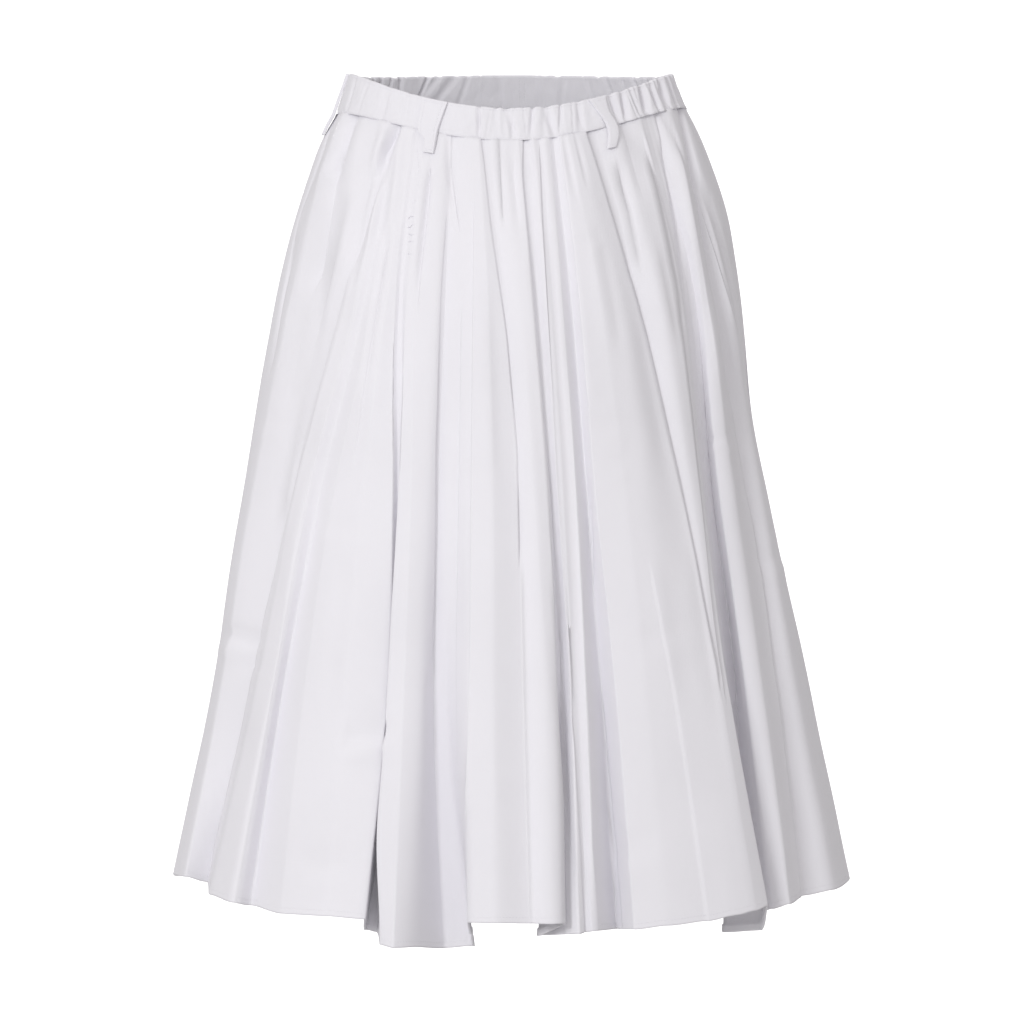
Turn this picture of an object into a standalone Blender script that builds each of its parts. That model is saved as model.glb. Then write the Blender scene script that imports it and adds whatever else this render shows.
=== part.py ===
"""A pleated A-line skirt with an elasticated waistband and belt loops, filled out and hollow.

+Z is up, -Y is the front and +X is the right of the front view. The origin is the centre of the
waist, at half the height of the waistband's sides, where a waist holds the skirt. Sizes are in
millimetres and angles in degrees, counted round the waist from the centre front towards +X.
"""

import math
from collections import namedtuple

import bpy
import numpy as np

MM = 0.001

# Driving sizes.
CLOTH = 1.5  # the wall of the two panels
BAND_CLOTH = 2.6  # folded cloth with elastic inside
LOOP_CLOTH = 1.8
SEAM_GAP = 0.3
BAND_TOP = 15.0  # height of the band's top edge at the sides
BAND_FOOT = -15.0  # height of the waist seam at the sides
TOP_DIP = 36.0  # how much lower the top edge lies at the centre front than at the sides
SEAM_DIP = 33.5  # the same for the waist seam
TOP_DIP_POWER = 2.0  # the larger, the more the dip keeps to the centre front
SEAM_DIP_POWER = 2.6
BACK_RISE = 7.0  # how much higher both lie at the centre back
LEFT_SEAM_DIP = 5.0  # the waist seam hangs this much lower at the left side than at the right
BAND_TOP_SHAPE = (138.0, 97.0)  # half width and half depth
BAND_FOOT_SHAPE = (149.0, 104.0)
LEVEL_DOWN = (0.0, 0.2, 0.47, 0.73, 1.0)  # shares of the way from waist seam to hem

SIDE_MOST = 0.999  # the share of the half width at which a front fold turns to the side at most

# The tube that the folds lie on: its half width to the left and right and its half depth to
# the front and back, at shares of the way down.
Profile = namedtuple("Profile", "down left right front back")
PROFILE = (
    Profile(0.00, 149, 149, 104, 104),
    Profile(0.03, 160, 159, 112, 113),
    Profile(0.08, 172, 172, 125, 128),
    Profile(0.14, 184, 184, 138, 143),
    Profile(0.20, 194, 191, 148, 155),
    Profile(0.30, 207, 199, 160, 168),
    Profile(0.40, 218, 205, 171, 180),
    Profile(0.50, 228, 218, 181, 190),
    Profile(0.60, 239, 232, 191, 200),
    Profile(0.70, 248, 247, 200, 209),
    Profile(0.80, 260, 260, 209, 217),
    Profile(0.90, 274, 274, 218, 225),
    Profile(1.00, 287, 288, 226, 232),
)

# The front's folds from the left side to the right one. Each row is an edge, crest or valley:
# its distance to the right of the centre front and its depth inside the tube, both at
# LEVEL_DOWN, and how far below the origin its hem hangs. Where a row lies to the left of the
# one before it, the cloth doubles back under a pleat.
FrontFold = namedtuple("FrontFold", "kind across inside hem")
FRONT_FOLDS = (
    FrontFold("crest", (-140, -178, -214, -241, -273), (0, -1, -1, 0, 2), 663),
    FrontFold("valley", (-111, -135, -180, -215, -255), (2, 6, 10, 14, 22), 668),
    FrontFold("edge", (-108, -132, -177, -211, -251), (0, 2, 3, 3, 4), 675),
    FrontFold("crest", (-105, -124, -167, -197, -228), (0, 0, -1, -3, -5), 679),
    FrontFold("valley", (-99, -117, -157, -189, -215), (2, 3, 6, 10, 14), 682),
    FrontFold("crest", (-92, -110, -146, -171, -189), (0, 0, 1, 1, 2), 686),
    FrontFold("crest", (-85, -101, -123, -137, -151), (0, -1, -2, -3, -3), 686),
    FrontFold("edge", (-82, -95, -97, -101, -118), (0, 1, 2, 6, 3), 688),
    FrontFold("valley", (-79, -92, -93, -94, -119), (1, 3, 7, 20, 44), 700),
    FrontFold("valley", (-76, -89, -88, -87, -110), (1, 3, 7, 20, 50), 702),
    FrontFold("edge", (-72, -86, -93, -102, -106), (0, 0, -1, -2, 0), 708),
    FrontFold("crest", (-66, -79, -82, -88, -95), (0, -1, -4, -6, -7), 710),
    FrontFold("slope", (-55, -61, -68, -73, -81), (1, 2, 2, 3, 6), 710),
    FrontFold("valley", (-49, -54, -60, -63, -54), (3, 7, 12, 26, 52), 714),
    FrontFold("valley", (-42, -46, -50, -51, -31), (2, 5, 10, 24, 50), 712),
    FrontFold("edge", (-32, -32, -33, -36, -36), (0, 0, -1, -2, 0), 689),
    FrontFold("crest", (-27, -19, -15, -14, -11), (0, -1, -3, -4, -5), 689),
    FrontFold("valley", (-23, -6, 6, 10, 15), (2, 4, 5, 5, 6), 690),
    FrontFold("crest", (-9, 7, 20, 28, 31), (0, 0, -1, -2, -3), 690),
    FrontFold("edge", (6, 17, 30, 40, 46), (1, 1, 1, 2, 3), 690),
    FrontFold("valley", (10, 21, 33, 36, 22), (3, 5, 9, 16, 30), 702),
    FrontFold("valley", (13, 24, 36, 40, 26), (3, 5, 8, 20, 39), 702),
    FrontFold("crest", (18, 30, 42, 50, 55), (0, 2, 3, 6, 6), 699),
    FrontFold("valley", (23, 35, 48, 56, 61), (2, 5, 7, 10, 14), 698),
    FrontFold("crest", (29, 41, 54, 62, 68), (0, 2, 4, 6, 8), 697),
    FrontFold("valley", (35, 49, 63, 76, 86), (4, 9, 16, 28, 42), 698),
    FrontFold("edge", (41, 56, 70, 87, 100), (0, 0, 2, 4, 5), 696),
    FrontFold("crest", (47, 73, 95, 112, 128), (-1, -2, -2, -2, -2), 693),
    FrontFold("slope", (54, 88, 116, 139, 160), (0, 0, -3, -5, -6), 690),
    FrontFold("valley", (64, 101, 140, 164, 183), (4, 8, 1, -6, -10), 686),
    FrontFold("crest", (85, 121, 150, 173, 200), (0, -1, -2, -7, -11), 683),
    FrontFold("edge", (108, 139, 158, 180, 211), (1, 2, 2, -3, -6), 680),
    FrontFold("slope", (110, 142, 160, 180, 206), (2, 6, 10, 14, 14), 702),
    FrontFold("valley", (113, 146, 163, 182, 175), (3, 9, 16, 25, 40), 704),
    FrontFold("valley", (117, 150, 168, 188, 184), (3, 9, 16, 27, 49), 704),
    FrontFold("edge", (121, 154, 173, 195, 216), (2, 4, 7, 9, 14), 685),
    FrontFold("crest", (134, 160, 183, 207, 230), (0, 0, 3, 3, 4), 681),
    FrontFold("valley", (143, 169, 198, 224, 245), (2, 6, 7, 9, 18), 677),
    FrontFold("crest", (147, 179, 209, 238, 270), (0, 0, 0, 0, 0), 673),
)

# The back's folds, on from the right side: the angle at waist and hem, and the rest as above.
BackFold = namedtuple("BackFold", "kind waist_angle hem_angle inside hem")
BACK_FOLDS = (
    BackFold("valley", 97, 98, (1, 3, 6, 10, 15), 671),
    BackFold("crest", 103, 104, (0, 0, -1, -2, -3), 671),
    BackFold("crest", 110, 113, (0, -1, -2, -3, -3), 672),
    BackFold("valley", 115, 117, (3, 8, 14, 22, 32), 680),
    BackFold("edge", 119, 119, (0, 0, 0, 0, 1), 674),
    BackFold("crest", 127, 127, (0, -1, -3, -4, -5), 673),
    BackFold("valley", 132, 133, (2, 5, 7, 9, 10), 675),
    BackFold("crest", 138, 139, (0, 0, -1, -2, -3), 674),
    BackFold("valley", 143, 145, (4, 10, 18, 30, 44), 684),
    BackFold("edge", 147, 148, (1, 1, 2, 2, 2), 675),
    BackFold("crest", 155, 156, (0, -2, -4, -5, -6), 674),
    BackFold("slope", 161, 163, (1, 2, 2, 2, 1), 675),
    BackFold("valley", 166, 168, (4, 9, 15, 24, 36), 682),
    BackFold("edge", 170, 171, (0, 1, 2, 3, 3), 676),
    BackFold("crest", 179, 180, (0, -2, -3, -5, -6), 675),
    BackFold("valley", 186, 188, (2, 5, 7, 8, 9), 676),
    BackFold("crest", 191, 193, (0, 0, -1, -2, -3), 675),
    BackFold("valley", 197, 199, (5, 11, 20, 32, 48), 685),
    BackFold("edge", 201, 202, (1, 1, 1, 1, 2), 676),
    BackFold("crest", 208, 209, (0, -2, -4, -5, -5), 675),
    BackFold("slope", 216, 217, (0, 0, -1, -1, -2), 674),
    BackFold("valley", 221, 223, (4, 9, 15, 22, 33), 681),
    BackFold("edge", 225, 226, (0, 1, 1, 2, 2), 674),
    BackFold("crest", 233, 234, (0, -1, -3, -4, -4), 672),
    BackFold("valley", 239, 241, (3, 6, 9, 14, 20), 676),
    BackFold("crest", 244, 246, (0, 0, 0, -1, -2), 671),
    BackFold("crest", 253, 255, (0, -1, -2, -3, -3), 669),
    BackFold("valley", 259, 260, (2, 5, 9, 13, 18), 671),
    BackFold("crest", 264, 265, (0, 0, 0, 0, 0), 668),
)
LEFT_SIDE_HEM = 665
RIGHT_SIDE_HEM = 668
# How straight the cloth runs up to each kind of fold: 0 is a soft curve, 1 a pressed line.
CRISP = {"edge": 0.9, "valley": 0.75, "crest": 0.6, "slope": 0.1}
CRISP_SIDE = 0.2

# Gathers that run out on their way down: where each starts and ends, half its width as an
# angle, and its depth.
Gather = namedtuple("Gather", "top_angle foot_angle top foot half_width depth")
GATHERS = (
    Gather(-78, -76, 0.02, 0.36, 3.0, 3.0),
    Gather(-62, -59, 0.00, 0.24, 3.0, 4.5),
    Gather(-52, -57, 0.08, 0.50, 1.6, 3.0),
    Gather(-40, -43, 0.00, 0.22, 2.6, 5.0),
    Gather(-34, -35, 0.12, 0.34, 2.0, 2.5),
    Gather(-24, -23, 0.03, 0.20, 1.6, 2.5),
    Gather(-21, -14, 0.00, 0.13, 1.5, 2.5),
    Gather(-6, -3, 0.00, 0.10, 1.3, 2.0),
    Gather(0, 2, 0.00, 0.12, 1.4, 2.2),
    Gather(6, 7, 0.00, 0.08, 1.2, 2.0),
    Gather(17, 18, 0.00, 0.09, 1.4, 2.2),
    Gather(21, 22, 0.00, 0.07, 1.3, 2.0),
    Gather(30, 32, 0.00, 0.12, 1.8, 2.6),
    Gather(34, 33, 0.04, 0.20, 2.0, 3.0),
    Gather(39, 41, 0.00, 0.08, 1.6, 2.4),
    Gather(44, 46, 0.00, 0.11, 1.8, 2.6),
    Gather(54, 51, 0.03, 0.24, 2.4, 4.0),
    Gather(59, 60, 0.00, 0.10, 2.0, 2.6),
    Gather(66, 80, 0.08, 0.30, 3.6, 3.0),
    Gather(80, 84, 0.00, 0.14, 2.6, 3.0),
    Gather(100, 102, 0.00, 0.12, 2.0, 3.0),
    Gather(107, 108, 0.00, 0.20, 2.2, 3.6),
    Gather(123, 124, 0.00, 0.16, 2.0, 3.0),
    Gather(129, 130, 0.00, 0.08, 1.6, 2.4),
    Gather(136, 137, 0.00, 0.22, 2.2, 3.4),
    Gather(151, 152, 0.00, 0.14, 2.0, 3.0),
    Gather(158, 159, 0.00, 0.09, 1.8, 2.4),
    Gather(175, 176, 0.00, 0.18, 2.0, 3.0),
    Gather(194, 195, 0.00, 0.12, 1.8, 2.6),
    Gather(205, 206, 0.00, 0.20, 2.2, 3.4),
    Gather(212, 213, 0.00, 0.10, 1.8, 2.6),
    Gather(229, 230, 0.00, 0.15, 2.0, 3.0),
    Gather(236, 237, 0.00, 0.08, 1.6, 2.4),
    Gather(248, 249, 0.00, 0.22, 2.4, 3.6),
    Gather(257, 256, 0.00, 0.12, 2.0, 3.0),
)
GATHER_AT_SEAM = 0.3  # share of a gather's depth that is left where the seam holds it flat
GATHER_OPENS = 0.035  # share of the way down in which it opens to its full depth
GATHER_FADE_POWER = 0.7  # below 1, a gather keeps its depth longer before it runs out

# Puckers of the elastic in the waistband's front: angle and depth.
Pucker = namedtuple("Pucker", "angle depth")
FRONT_PUCKERS = (
    Pucker(-47.0, 0.5),
    Pucker(-38.0, 0.6),
    Pucker(-33.0, 0.4),
    Pucker(-10.7, 0.9),
    Pucker(-7.6, 1.2),
    Pucker(-4.7, 1.1),
    Pucker(-2.3, 1.3),
    Pucker(0.6, 1.2),
    Pucker(4.7, 1.0),
    Pucker(7.4, 1.3),
    Pucker(11.0, 1.1),
    Pucker(13.8, 1.3),
    Pucker(17.4, 1.4),
    Pucker(21.0, 1.1),
    Pucker(24.0, 1.3),
    Pucker(37.5, 1.2),
    Pucker(41.0, 1.4),
    Pucker(45.0, 1.5),
    Pucker(48.6, 1.2),
    Pucker(52.5, 1.5),
    Pucker(57.0, 1.4),
    Pucker(61.5, 1.5),
    Pucker(66.0, 1.3),
    Pucker(71.0, 1.5),
    Pucker(76.0, 1.4),
    Pucker(81.5, 1.5),
)
# The back's puckers follow a rule, on both sides of a flat stretch at the centre back.
BACK_PUCKERS = ((95.0, 172.0, 16), (190.0, 265.0, 15))  # from, to, how many
PUCKER_SWAY = 1.1  # degrees
PUCKER_SWAY_STEP = 2.4  # radians that the sway turns on from one pucker to the next
PUCKER_HALF_WIDTH = 1.6
PUCKER_DEPTH = 1.3
PUCKER_DEPTH_SWAY = 0.3
RUFFLE = 1.2  # how far the top edge dips at a pucker
BAND_STEP = 6.0  # the most degrees between two of the band's columns
BAND_LEVELS = (0.0, 0.14, 0.5, 0.86, 1.0)  # shares of the band's height
BAND_LEVEL_PUCKER = (0.5, 0.6, 1.0, 0.7, 0.8)  # how much of each pucker shows there

# Belt loops: the angle of the middle line, and which of the outlines below the loop has.
Loop = namedtuple("Loop", "name angle outline")
LOOPS = (
    Loop("belt_loop_front_left", -26.5, "left"),
    Loop("belt_loop_front_right", 32.5, "right"),
    Loop("belt_loop_side_right", 106.0, "plain"),
    Loop("belt_loop_back", 181.0, "plain"),
    Loop("belt_loop_side_left", -88.0, "plain"),
)
# The outlines from top to foot. Height is 1 at the band's top edge, 0 at the waist seam and -1 at
# the foot, lift is the gap to the cloth behind, and each outline is how far its two edges lie
# from the middle line, towards smaller and towards larger angles.
LoopRow = namedtuple("LoopRow", "height lift left right plain")
LOOP_OUTLINE = (
    LoopRow(1.00, 0.4, (10.8, 8.2), (9.7, 3.2), (7.0, 7.0)),
    LoopRow(0.50, 1.1, (9.0, 6.2), (4.2, 3.0), (6.5, 6.5)),
    LoopRow(0.05, 1.8, (8.1, 5.0), (0.8, 5.7), (6.0, 6.0)),
    LoopRow(-0.35, 1.8, (2.6, 5.3), (1.3, 5.2), (5.5, 5.5)),
    LoopRow(-1.00, 0.6, (1.2, 5.5), (4.4, 1.2), (5.0, 5.0)),
)
LOOP_BELOW_SEAM = 17.0
LOOP_COLUMNS = 5

ROW_DOWN = (0, 0.012, 0.035, 0.07, 0.12, 0.18, 0.26, 0.36, 0.47, 0.59, 0.73, 0.87, 1.0)
COLUMN_LENGTH = 11.0  # about how long a column's side is at the hem
COLUMNS_A_FOLD = (2, 4)  # the fewest and the most between two rows of folds

COTTON = (0.80, 0.80, 0.84, 1.0)
COTTON_ROUGHNESS = 0.85
SHARP_ANGLE = 50.0  # an edge that turns more than this is shaded sharp


def read(knots, values, at):
    """A smooth curve through a table's rows, read at one place."""
    knots = np.array(knots, float)
    values = np.array(values, float)
    slopes = np.gradient(values, knots, axis=0)
    i = int(np.clip(np.searchsorted(knots, at, "right") - 1, 0, len(knots) - 2))
    step = knots[i + 1] - knots[i]
    t = (at - knots[i]) / step
    start = (2 * t**3 - 3 * t**2 + 1) * values[i] + (t**3 - 2 * t**2 + t) * step * slopes[i]
    end = (3 * t**2 - 2 * t**3) * values[i + 1] + (t**3 - t**2) * step * slopes[i + 1]
    return start + end


def tube(down):
    """(left, right, front, back) half sizes of the tube at this share of the way down."""
    return read([row.down for row in PROFILE], [row[1:] for row in PROFILE], down)


def on_tube(sizes, angle, inside):
    """The plan point at an angle, a depth inside the tube."""
    left, right, front, back = sizes
    width = (right if math.sin(angle) > 0 else left) - inside
    depth = (front if math.cos(angle) > 0 else back) - inside
    return width * math.sin(angle), -depth * math.cos(angle)


def fold_edges(down):
    """Plan points of all fold rows at one level, from the left side round by the front."""
    sizes = tube(down)
    left, right = sizes[0], sizes[1]
    points = [on_tube(sizes, math.radians(-90), 0)]
    for fold in FRONT_FOLDS:
        across = read(LEVEL_DOWN, fold.across, down)
        inside = read(LEVEL_DOWN, fold.inside, down)
        share = across / ((right if across > 0 else left) - inside)
        points.append(on_tube(sizes, math.asin(np.clip(share, -SIDE_MOST, SIDE_MOST)), inside))
    points.append(on_tube(sizes, math.radians(90), 0))
    for fold in BACK_FOLDS:
        angle = fold.waist_angle + (fold.hem_angle - fold.waist_angle) * down
        inside = read(LEVEL_DOWN, fold.inside, down)
        points.append(on_tube(sizes, math.radians(angle), inside))
    return np.array(points)


def fold_crisp():
    """How straight the cloth runs up to each fold row, from the left side round by the front."""
    front = [CRISP[fold.kind] for fold in FRONT_FOLDS]
    back = [CRISP[fold.kind] for fold in BACK_FOLDS]
    return np.array([CRISP_SIDE, *front, CRISP_SIDE, *back])[:, None]


def round_spline(points, columns):
    """A closed spline through the points, read at fractional point numbers.

    It is centripetal where the cloth is soft, and straight up to the points that are pressed.
    """
    count = len(points)
    index = np.floor(columns).astype(int) % count
    t = (columns - np.floor(columns))[:, None]
    before, start, end, after = (points[(index + step) % count] for step in (-1, 0, 1, 2))
    gaps = [
        np.sqrt(np.linalg.norm(b - a, axis=1))[:, None]
        for a, b in ((before, start), (start, end), (end, after))
    ]
    leave = (start - before) / gaps[0] - (end - before) / (gaps[0] + gaps[1])
    leave = (leave + (end - start) / gaps[1]) * gaps[1]
    arrive = (end - start) / gaps[1] - (after - start) / (gaps[1] + gaps[2])
    arrive = (arrive + (after - end) / gaps[2]) * gaps[1]
    crisp = fold_crisp()
    leave += (end - start - leave) * crisp[index]
    arrive += (end - start - arrive) * crisp[(index + 1) % count]
    return (
        (2 * t**3 - 3 * t**2 + 1) * start
        + (t**3 - 2 * t**2 + t) * leave
        + (3 * t**2 - 2 * t**3) * end
        + (t**3 - t**2) * arrive
    )


def outward(section):
    """Unit normals of a closed plan section, pointing out."""
    along = np.roll(section, -1, axis=0) - np.roll(section, 1, axis=0)
    along /= np.linalg.norm(along, axis=1)[:, None]
    return np.stack([along[:, 1], -along[:, 0]], axis=1)


def angles_of(section, sizes):
    """The angle round the waist of each plan point."""
    left, right, front, back = sizes
    x = section[:, 0] / np.where(section[:, 0] > 0, right, left)
    y = section[:, 1] / np.where(section[:, 1] < 0, front, back)
    return np.degrees(np.arctan2(x, -y))


def trough(angles, middle, half_width):
    """1 at the middle of a soft trough, falling to 0 at its sides."""
    away = np.abs((angles - middle + 180) % 360 - 180) / half_width
    return np.where(away < 1, 0.5 + 0.5 * np.cos(np.pi * np.minimum(away, 1)), 0.0)


def gathered(angles, down):
    """How deep the gathers press the cloth in at one level."""
    depth = np.zeros(len(angles))
    for gather in GATHERS:
        if not gather.top <= down <= gather.foot:
            continue
        share = (down - gather.top) / (gather.foot - gather.top)
        middle = gather.top_angle + (gather.foot_angle - gather.top_angle) * share
        opens = min(1.0, (down - gather.top) / GATHER_OPENS)
        opens = GATHER_AT_SEAM + (1 - GATHER_AT_SEAM) * opens if gather.top == 0 else opens
        fades = math.cos(0.5 * math.pi * share) ** GATHER_FADE_POWER if share < 1 else 0.0
        depth += gather.depth * opens * fades * trough(angles, middle, gather.half_width)
    return depth


def waist_line(angles, dip, power):
    """How far a line round the waist lies above its own height at the sides."""
    facing = np.cos(np.radians(angles))
    return np.where(facing > 0, -dip, BACK_RISE) * np.abs(facing) ** power


def seam_height(angles):
    """Height of the waist seam."""
    left = np.maximum(0, -np.sin(np.radians(angles)))
    sides = BAND_FOOT - LEFT_SEAM_DIP * left**2
    return sides + waist_line(angles, SEAM_DIP, SEAM_DIP_POWER)


def top_height(angles):
    """Height of the waistband's top edge, without its ruffle."""
    return BAND_TOP + waist_line(angles, TOP_DIP, TOP_DIP_POWER)


def skirt_columns():
    """Fractional fold numbers of the columns, which stand closer where the cloth folds more."""
    hem = fold_edges(1.0)
    lengths = np.linalg.norm(np.roll(hem, -1, axis=0) - hem, axis=1)
    fewest, most = COLUMNS_A_FOLD
    columns = []
    for fold, length in enumerate(lengths):
        steps = int(np.clip(round(length / COLUMN_LENGTH), fewest, most))
        columns += [fold + step / steps for step in range(steps)]
    return np.array(columns)


def hem_drops(columns):
    """How far below the origin the hem hangs at each column."""
    drops = [LEFT_SIDE_HEM, *(fold.hem for fold in FRONT_FOLDS), RIGHT_SIDE_HEM]
    drops += [fold.hem for fold in BACK_FOLDS]
    drops = np.array(drops, float)
    start = np.floor(columns).astype(int)
    t = columns - start
    return drops[start] + (drops[(start + 1) % len(drops)] - drops[start]) * t * t * (3 - 2 * t)


def skirt_rows(columns):
    """Outer and inner points of the cloth, as arrays of [level, column, xyz]."""
    hem = -hem_drops(columns)
    at_waist = angles_of(round_spline(fold_edges(0.0), columns), tube(0.0))
    seam = seam_height(at_waist) - SEAM_GAP
    outer, inner = [], []
    for down in ROW_DOWN:
        section = round_spline(fold_edges(down), columns)
        pressed = gathered(angles_of(section, tube(down)), down)
        section = section - outward(section) * pressed[:, None]
        height = seam + (hem - seam) * down
        outer.append(np.column_stack([section, height]))
        inner.append(np.column_stack([section - outward(section) * CLOTH, height]))
    return np.array(outer), np.array(inner)


def wall(outer, inner, closed):
    """Vertices and faces of the wall between two grids of points, rows from top to bottom."""
    rows, columns = outer.shape[:2]
    vertices = np.concatenate([outer.reshape(-1, 3), inner.reshape(-1, 3)])
    numbers = np.arange(rows * columns).reshape(rows, columns)
    faces = []
    for c in range(columns if closed else columns - 1):
        d = (c + 1) % columns
        for r in range(rows - 1):
            a, b, e, f = numbers[r, c], numbers[r, d], numbers[r + 1, d], numbers[r + 1, c]
            faces.append((f, e, b, a))
            faces.append(tuple(number + rows * columns for number in (a, b, e, f)))
        for r, turned in ((0, False), (rows - 1, True)):
            a, b = numbers[r, c], numbers[r, d]
            rim = (a, b, b + rows * columns, a + rows * columns)
            faces.append(rim[::-1] if turned else rim)
    if not closed:
        for c, turned in ((0, False), (columns - 1, True)):
            for r in range(rows - 1):
                a, f = numbers[r, c], numbers[r + 1, c]
                rim = (a, a + rows * columns, f + rows * columns, f)
                faces.append(rim[::-1] if turned else rim)
    return vertices, faces


def cotton(name):
    """White cotton for one sub-part."""
    material = bpy.data.materials.new(name)
    material.use_nodes = True
    shader = material.node_tree.nodes["Principled BSDF"]
    shader.inputs["Base Color"].default_value = COTTON
    shader.inputs["Roughness"].default_value = COTTON_ROUGHNESS
    shader.inputs["Metallic"].default_value = 0.0
    return material


def mesh_object(name, vertices, faces):
    """A named object of millimetre points, with its own cotton."""
    mesh = bpy.data.meshes.new(name)
    mesh.from_pydata((vertices * MM).tolist(), [], [tuple(int(n) for n in f) for f in faces])
    mesh.shade_smooth()
    mesh.set_sharp_from_angle(angle=math.radians(SHARP_ANGLE))
    mesh.materials.append(cotton(name + "_cotton"))
    piece = bpy.data.objects.new(name, mesh)
    bpy.context.scene.collection.objects.link(piece)
    return piece


def pulled_from_seam(rows):
    """A panel's rows with both side edges drawn back by half the seam's gap."""
    rows = rows.copy()
    for edge, beside in ((0, 1), (-1, -2)):
        along = rows[:, beside] - rows[:, edge]
        rows[:, edge] += along / np.linalg.norm(along, axis=1)[:, None] * SEAM_GAP / 2
    return rows


def make_panels():
    """The front and back of the skirt, which meet at the side seams."""
    columns = skirt_columns()
    outer, inner = skirt_rows(columns)
    right_seam = int(np.argmax(columns >= len(FRONT_FOLDS) + 1))
    front = np.arange(0, right_seam + 1)
    back = np.append(np.arange(right_seam, len(columns)), 0)
    for name, picked in (("skirt_front", front), ("skirt_back", back)):
        rows = [pulled_from_seam(grid[:, picked]) for grid in (outer, inner)]
        mesh_object(name, *wall(*rows, closed=False))


def puckers():
    """Every pucker of the waistband, from the left side round by the front."""
    found = list(FRONT_PUCKERS)
    for first, last, count in BACK_PUCKERS:
        for step in range(count):
            sway = math.sin(PUCKER_SWAY_STEP * step + first)
            angle = first + (last - first) * step / (count - 1) + PUCKER_SWAY * sway
            found.append(Pucker(angle, PUCKER_DEPTH + PUCKER_DEPTH_SWAY * sway))
    return found


def puckered(angles):
    """How deep the band's cloth is drawn in at its middle height."""
    depth = np.zeros(len(angles))
    for pucker in puckers():
        depth += pucker.depth * trough(angles, pucker.angle, PUCKER_HALF_WIDTH)
    return depth


def band_angles():
    """A column at each pucker and between each two, and more where they lie far apart."""
    middles = [pucker.angle for pucker in puckers()]
    middles.append(middles[0] + 360)
    angles = []
    for middle, following in zip(middles, middles[1:]):
        steps = max(2, math.ceil((following - middle) / BAND_STEP))
        angles += [middle + (following - middle) * step / steps for step in range(steps)]
    return np.array(angles)


def band_points(angles, up, drawn_in):
    """Points of the waistband at a share of its height, drawn in by a depth."""
    turn = np.radians(angles)
    width, depth = (
        foot + (top - foot) * up for foot, top in zip(BAND_FOOT_SHAPE, BAND_TOP_SHAPE)
    )
    height = seam_height(angles) + (top_height(angles) - seam_height(angles)) * up
    return np.column_stack(
        [(width - drawn_in) * np.sin(turn), -(depth - drawn_in) * np.cos(turn), height]
    )


def make_waistband():
    """The elasticated band: puckered outside, plain inside, with a ruffled top edge."""
    angles = band_angles()
    depth = puckered(angles)
    outer, inner = [], []
    for up, share in zip(BAND_LEVELS[::-1], BAND_LEVEL_PUCKER[::-1]):
        outside = band_points(angles, up, share * depth)
        inside = band_points(angles, up, BAND_CLOTH)
        if up == 1.0:
            outside[:, 2] -= RUFFLE * depth / PUCKER_DEPTH
            inside[:, 2] -= RUFFLE * depth / PUCKER_DEPTH
        outer.append(outside)
        inner.append(inside)
    mesh_object("waistband", *wall(np.array(outer), np.array(inner), closed=True))


def cloth_behind(angles, height_share):
    """Points of the garment behind a loop: 1 is the band's top, 0 the seam, less is below."""
    if height_share >= 0:
        return band_points(angles, height_share, 0.0)
    turn = np.radians(angles)
    fall = LOOP_BELOW_SEAM * -height_share
    length = seam_height(angles) + (LEFT_SIDE_HEM + RIGHT_SIDE_HEM) / 2
    sizes = tube(float(fall / length.mean()))
    plan = [on_tube(sizes, angle, 0.0) for angle in turn]
    return np.column_stack([plan, seam_height(angles) - fall])


def make_loop(loop):
    """A strip that is sewn to the band's top edge and to the cloth below the waist seam."""
    middle = band_points(np.array([loop.angle]), 0.5, 0.0)[0]
    degrees_a_mm = math.degrees(1 / math.hypot(middle[0], middle[1]))
    outer, inner = [], []
    for row in LOOP_OUTLINE:
        before, after = getattr(row, loop.outline)
        angles = loop.angle + np.linspace(-before, after, LOOP_COLUMNS) * degrees_a_mm
        behind = cloth_behind(angles, row.height)
        out = behind[:, :2] / np.linalg.norm(behind[:, :2], axis=1)[:, None]
        near, far = behind.copy(), behind.copy()
        near[:, :2] += out * row.lift
        far[:, :2] += out * (row.lift + LOOP_CLOTH)
        outer.append(far)
        inner.append(near)
    mesh_object(loop.name, *wall(np.array(outer), np.array(inner), closed=False))


def main():
    for old in list(bpy.data.objects):
        bpy.data.objects.remove(old)
    make_panels()
    make_waistband()
    for loop in LOOPS:
        make_loop(loop)


main()
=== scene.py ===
"""The looks of a pleated white cotton skirt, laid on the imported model's frame.

Sizes are in millimetres and angles in degrees, counted round the waist from the centre front
towards +X, as in the part's source. They become metres where a mesh is made.
"""

import math
from collections import namedtuple
from functools import lru_cache

import bpy
import numpy as np
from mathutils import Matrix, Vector, noise


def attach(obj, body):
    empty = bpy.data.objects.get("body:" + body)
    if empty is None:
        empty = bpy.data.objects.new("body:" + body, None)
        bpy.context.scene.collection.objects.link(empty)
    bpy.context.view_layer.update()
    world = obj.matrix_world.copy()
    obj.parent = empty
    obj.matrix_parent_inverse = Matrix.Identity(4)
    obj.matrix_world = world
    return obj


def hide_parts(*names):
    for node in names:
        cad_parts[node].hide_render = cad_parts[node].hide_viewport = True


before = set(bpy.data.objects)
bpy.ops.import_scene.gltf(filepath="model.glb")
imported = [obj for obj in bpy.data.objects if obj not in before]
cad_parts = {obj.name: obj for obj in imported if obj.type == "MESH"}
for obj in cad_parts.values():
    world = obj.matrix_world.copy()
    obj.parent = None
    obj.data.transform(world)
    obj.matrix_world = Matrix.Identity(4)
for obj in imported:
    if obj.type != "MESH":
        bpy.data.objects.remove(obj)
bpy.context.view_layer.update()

MM = 0.001


def table(kind, rows):
    """A table's rows as named tuples."""
    return tuple(kind(*row) for row in rows)


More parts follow.
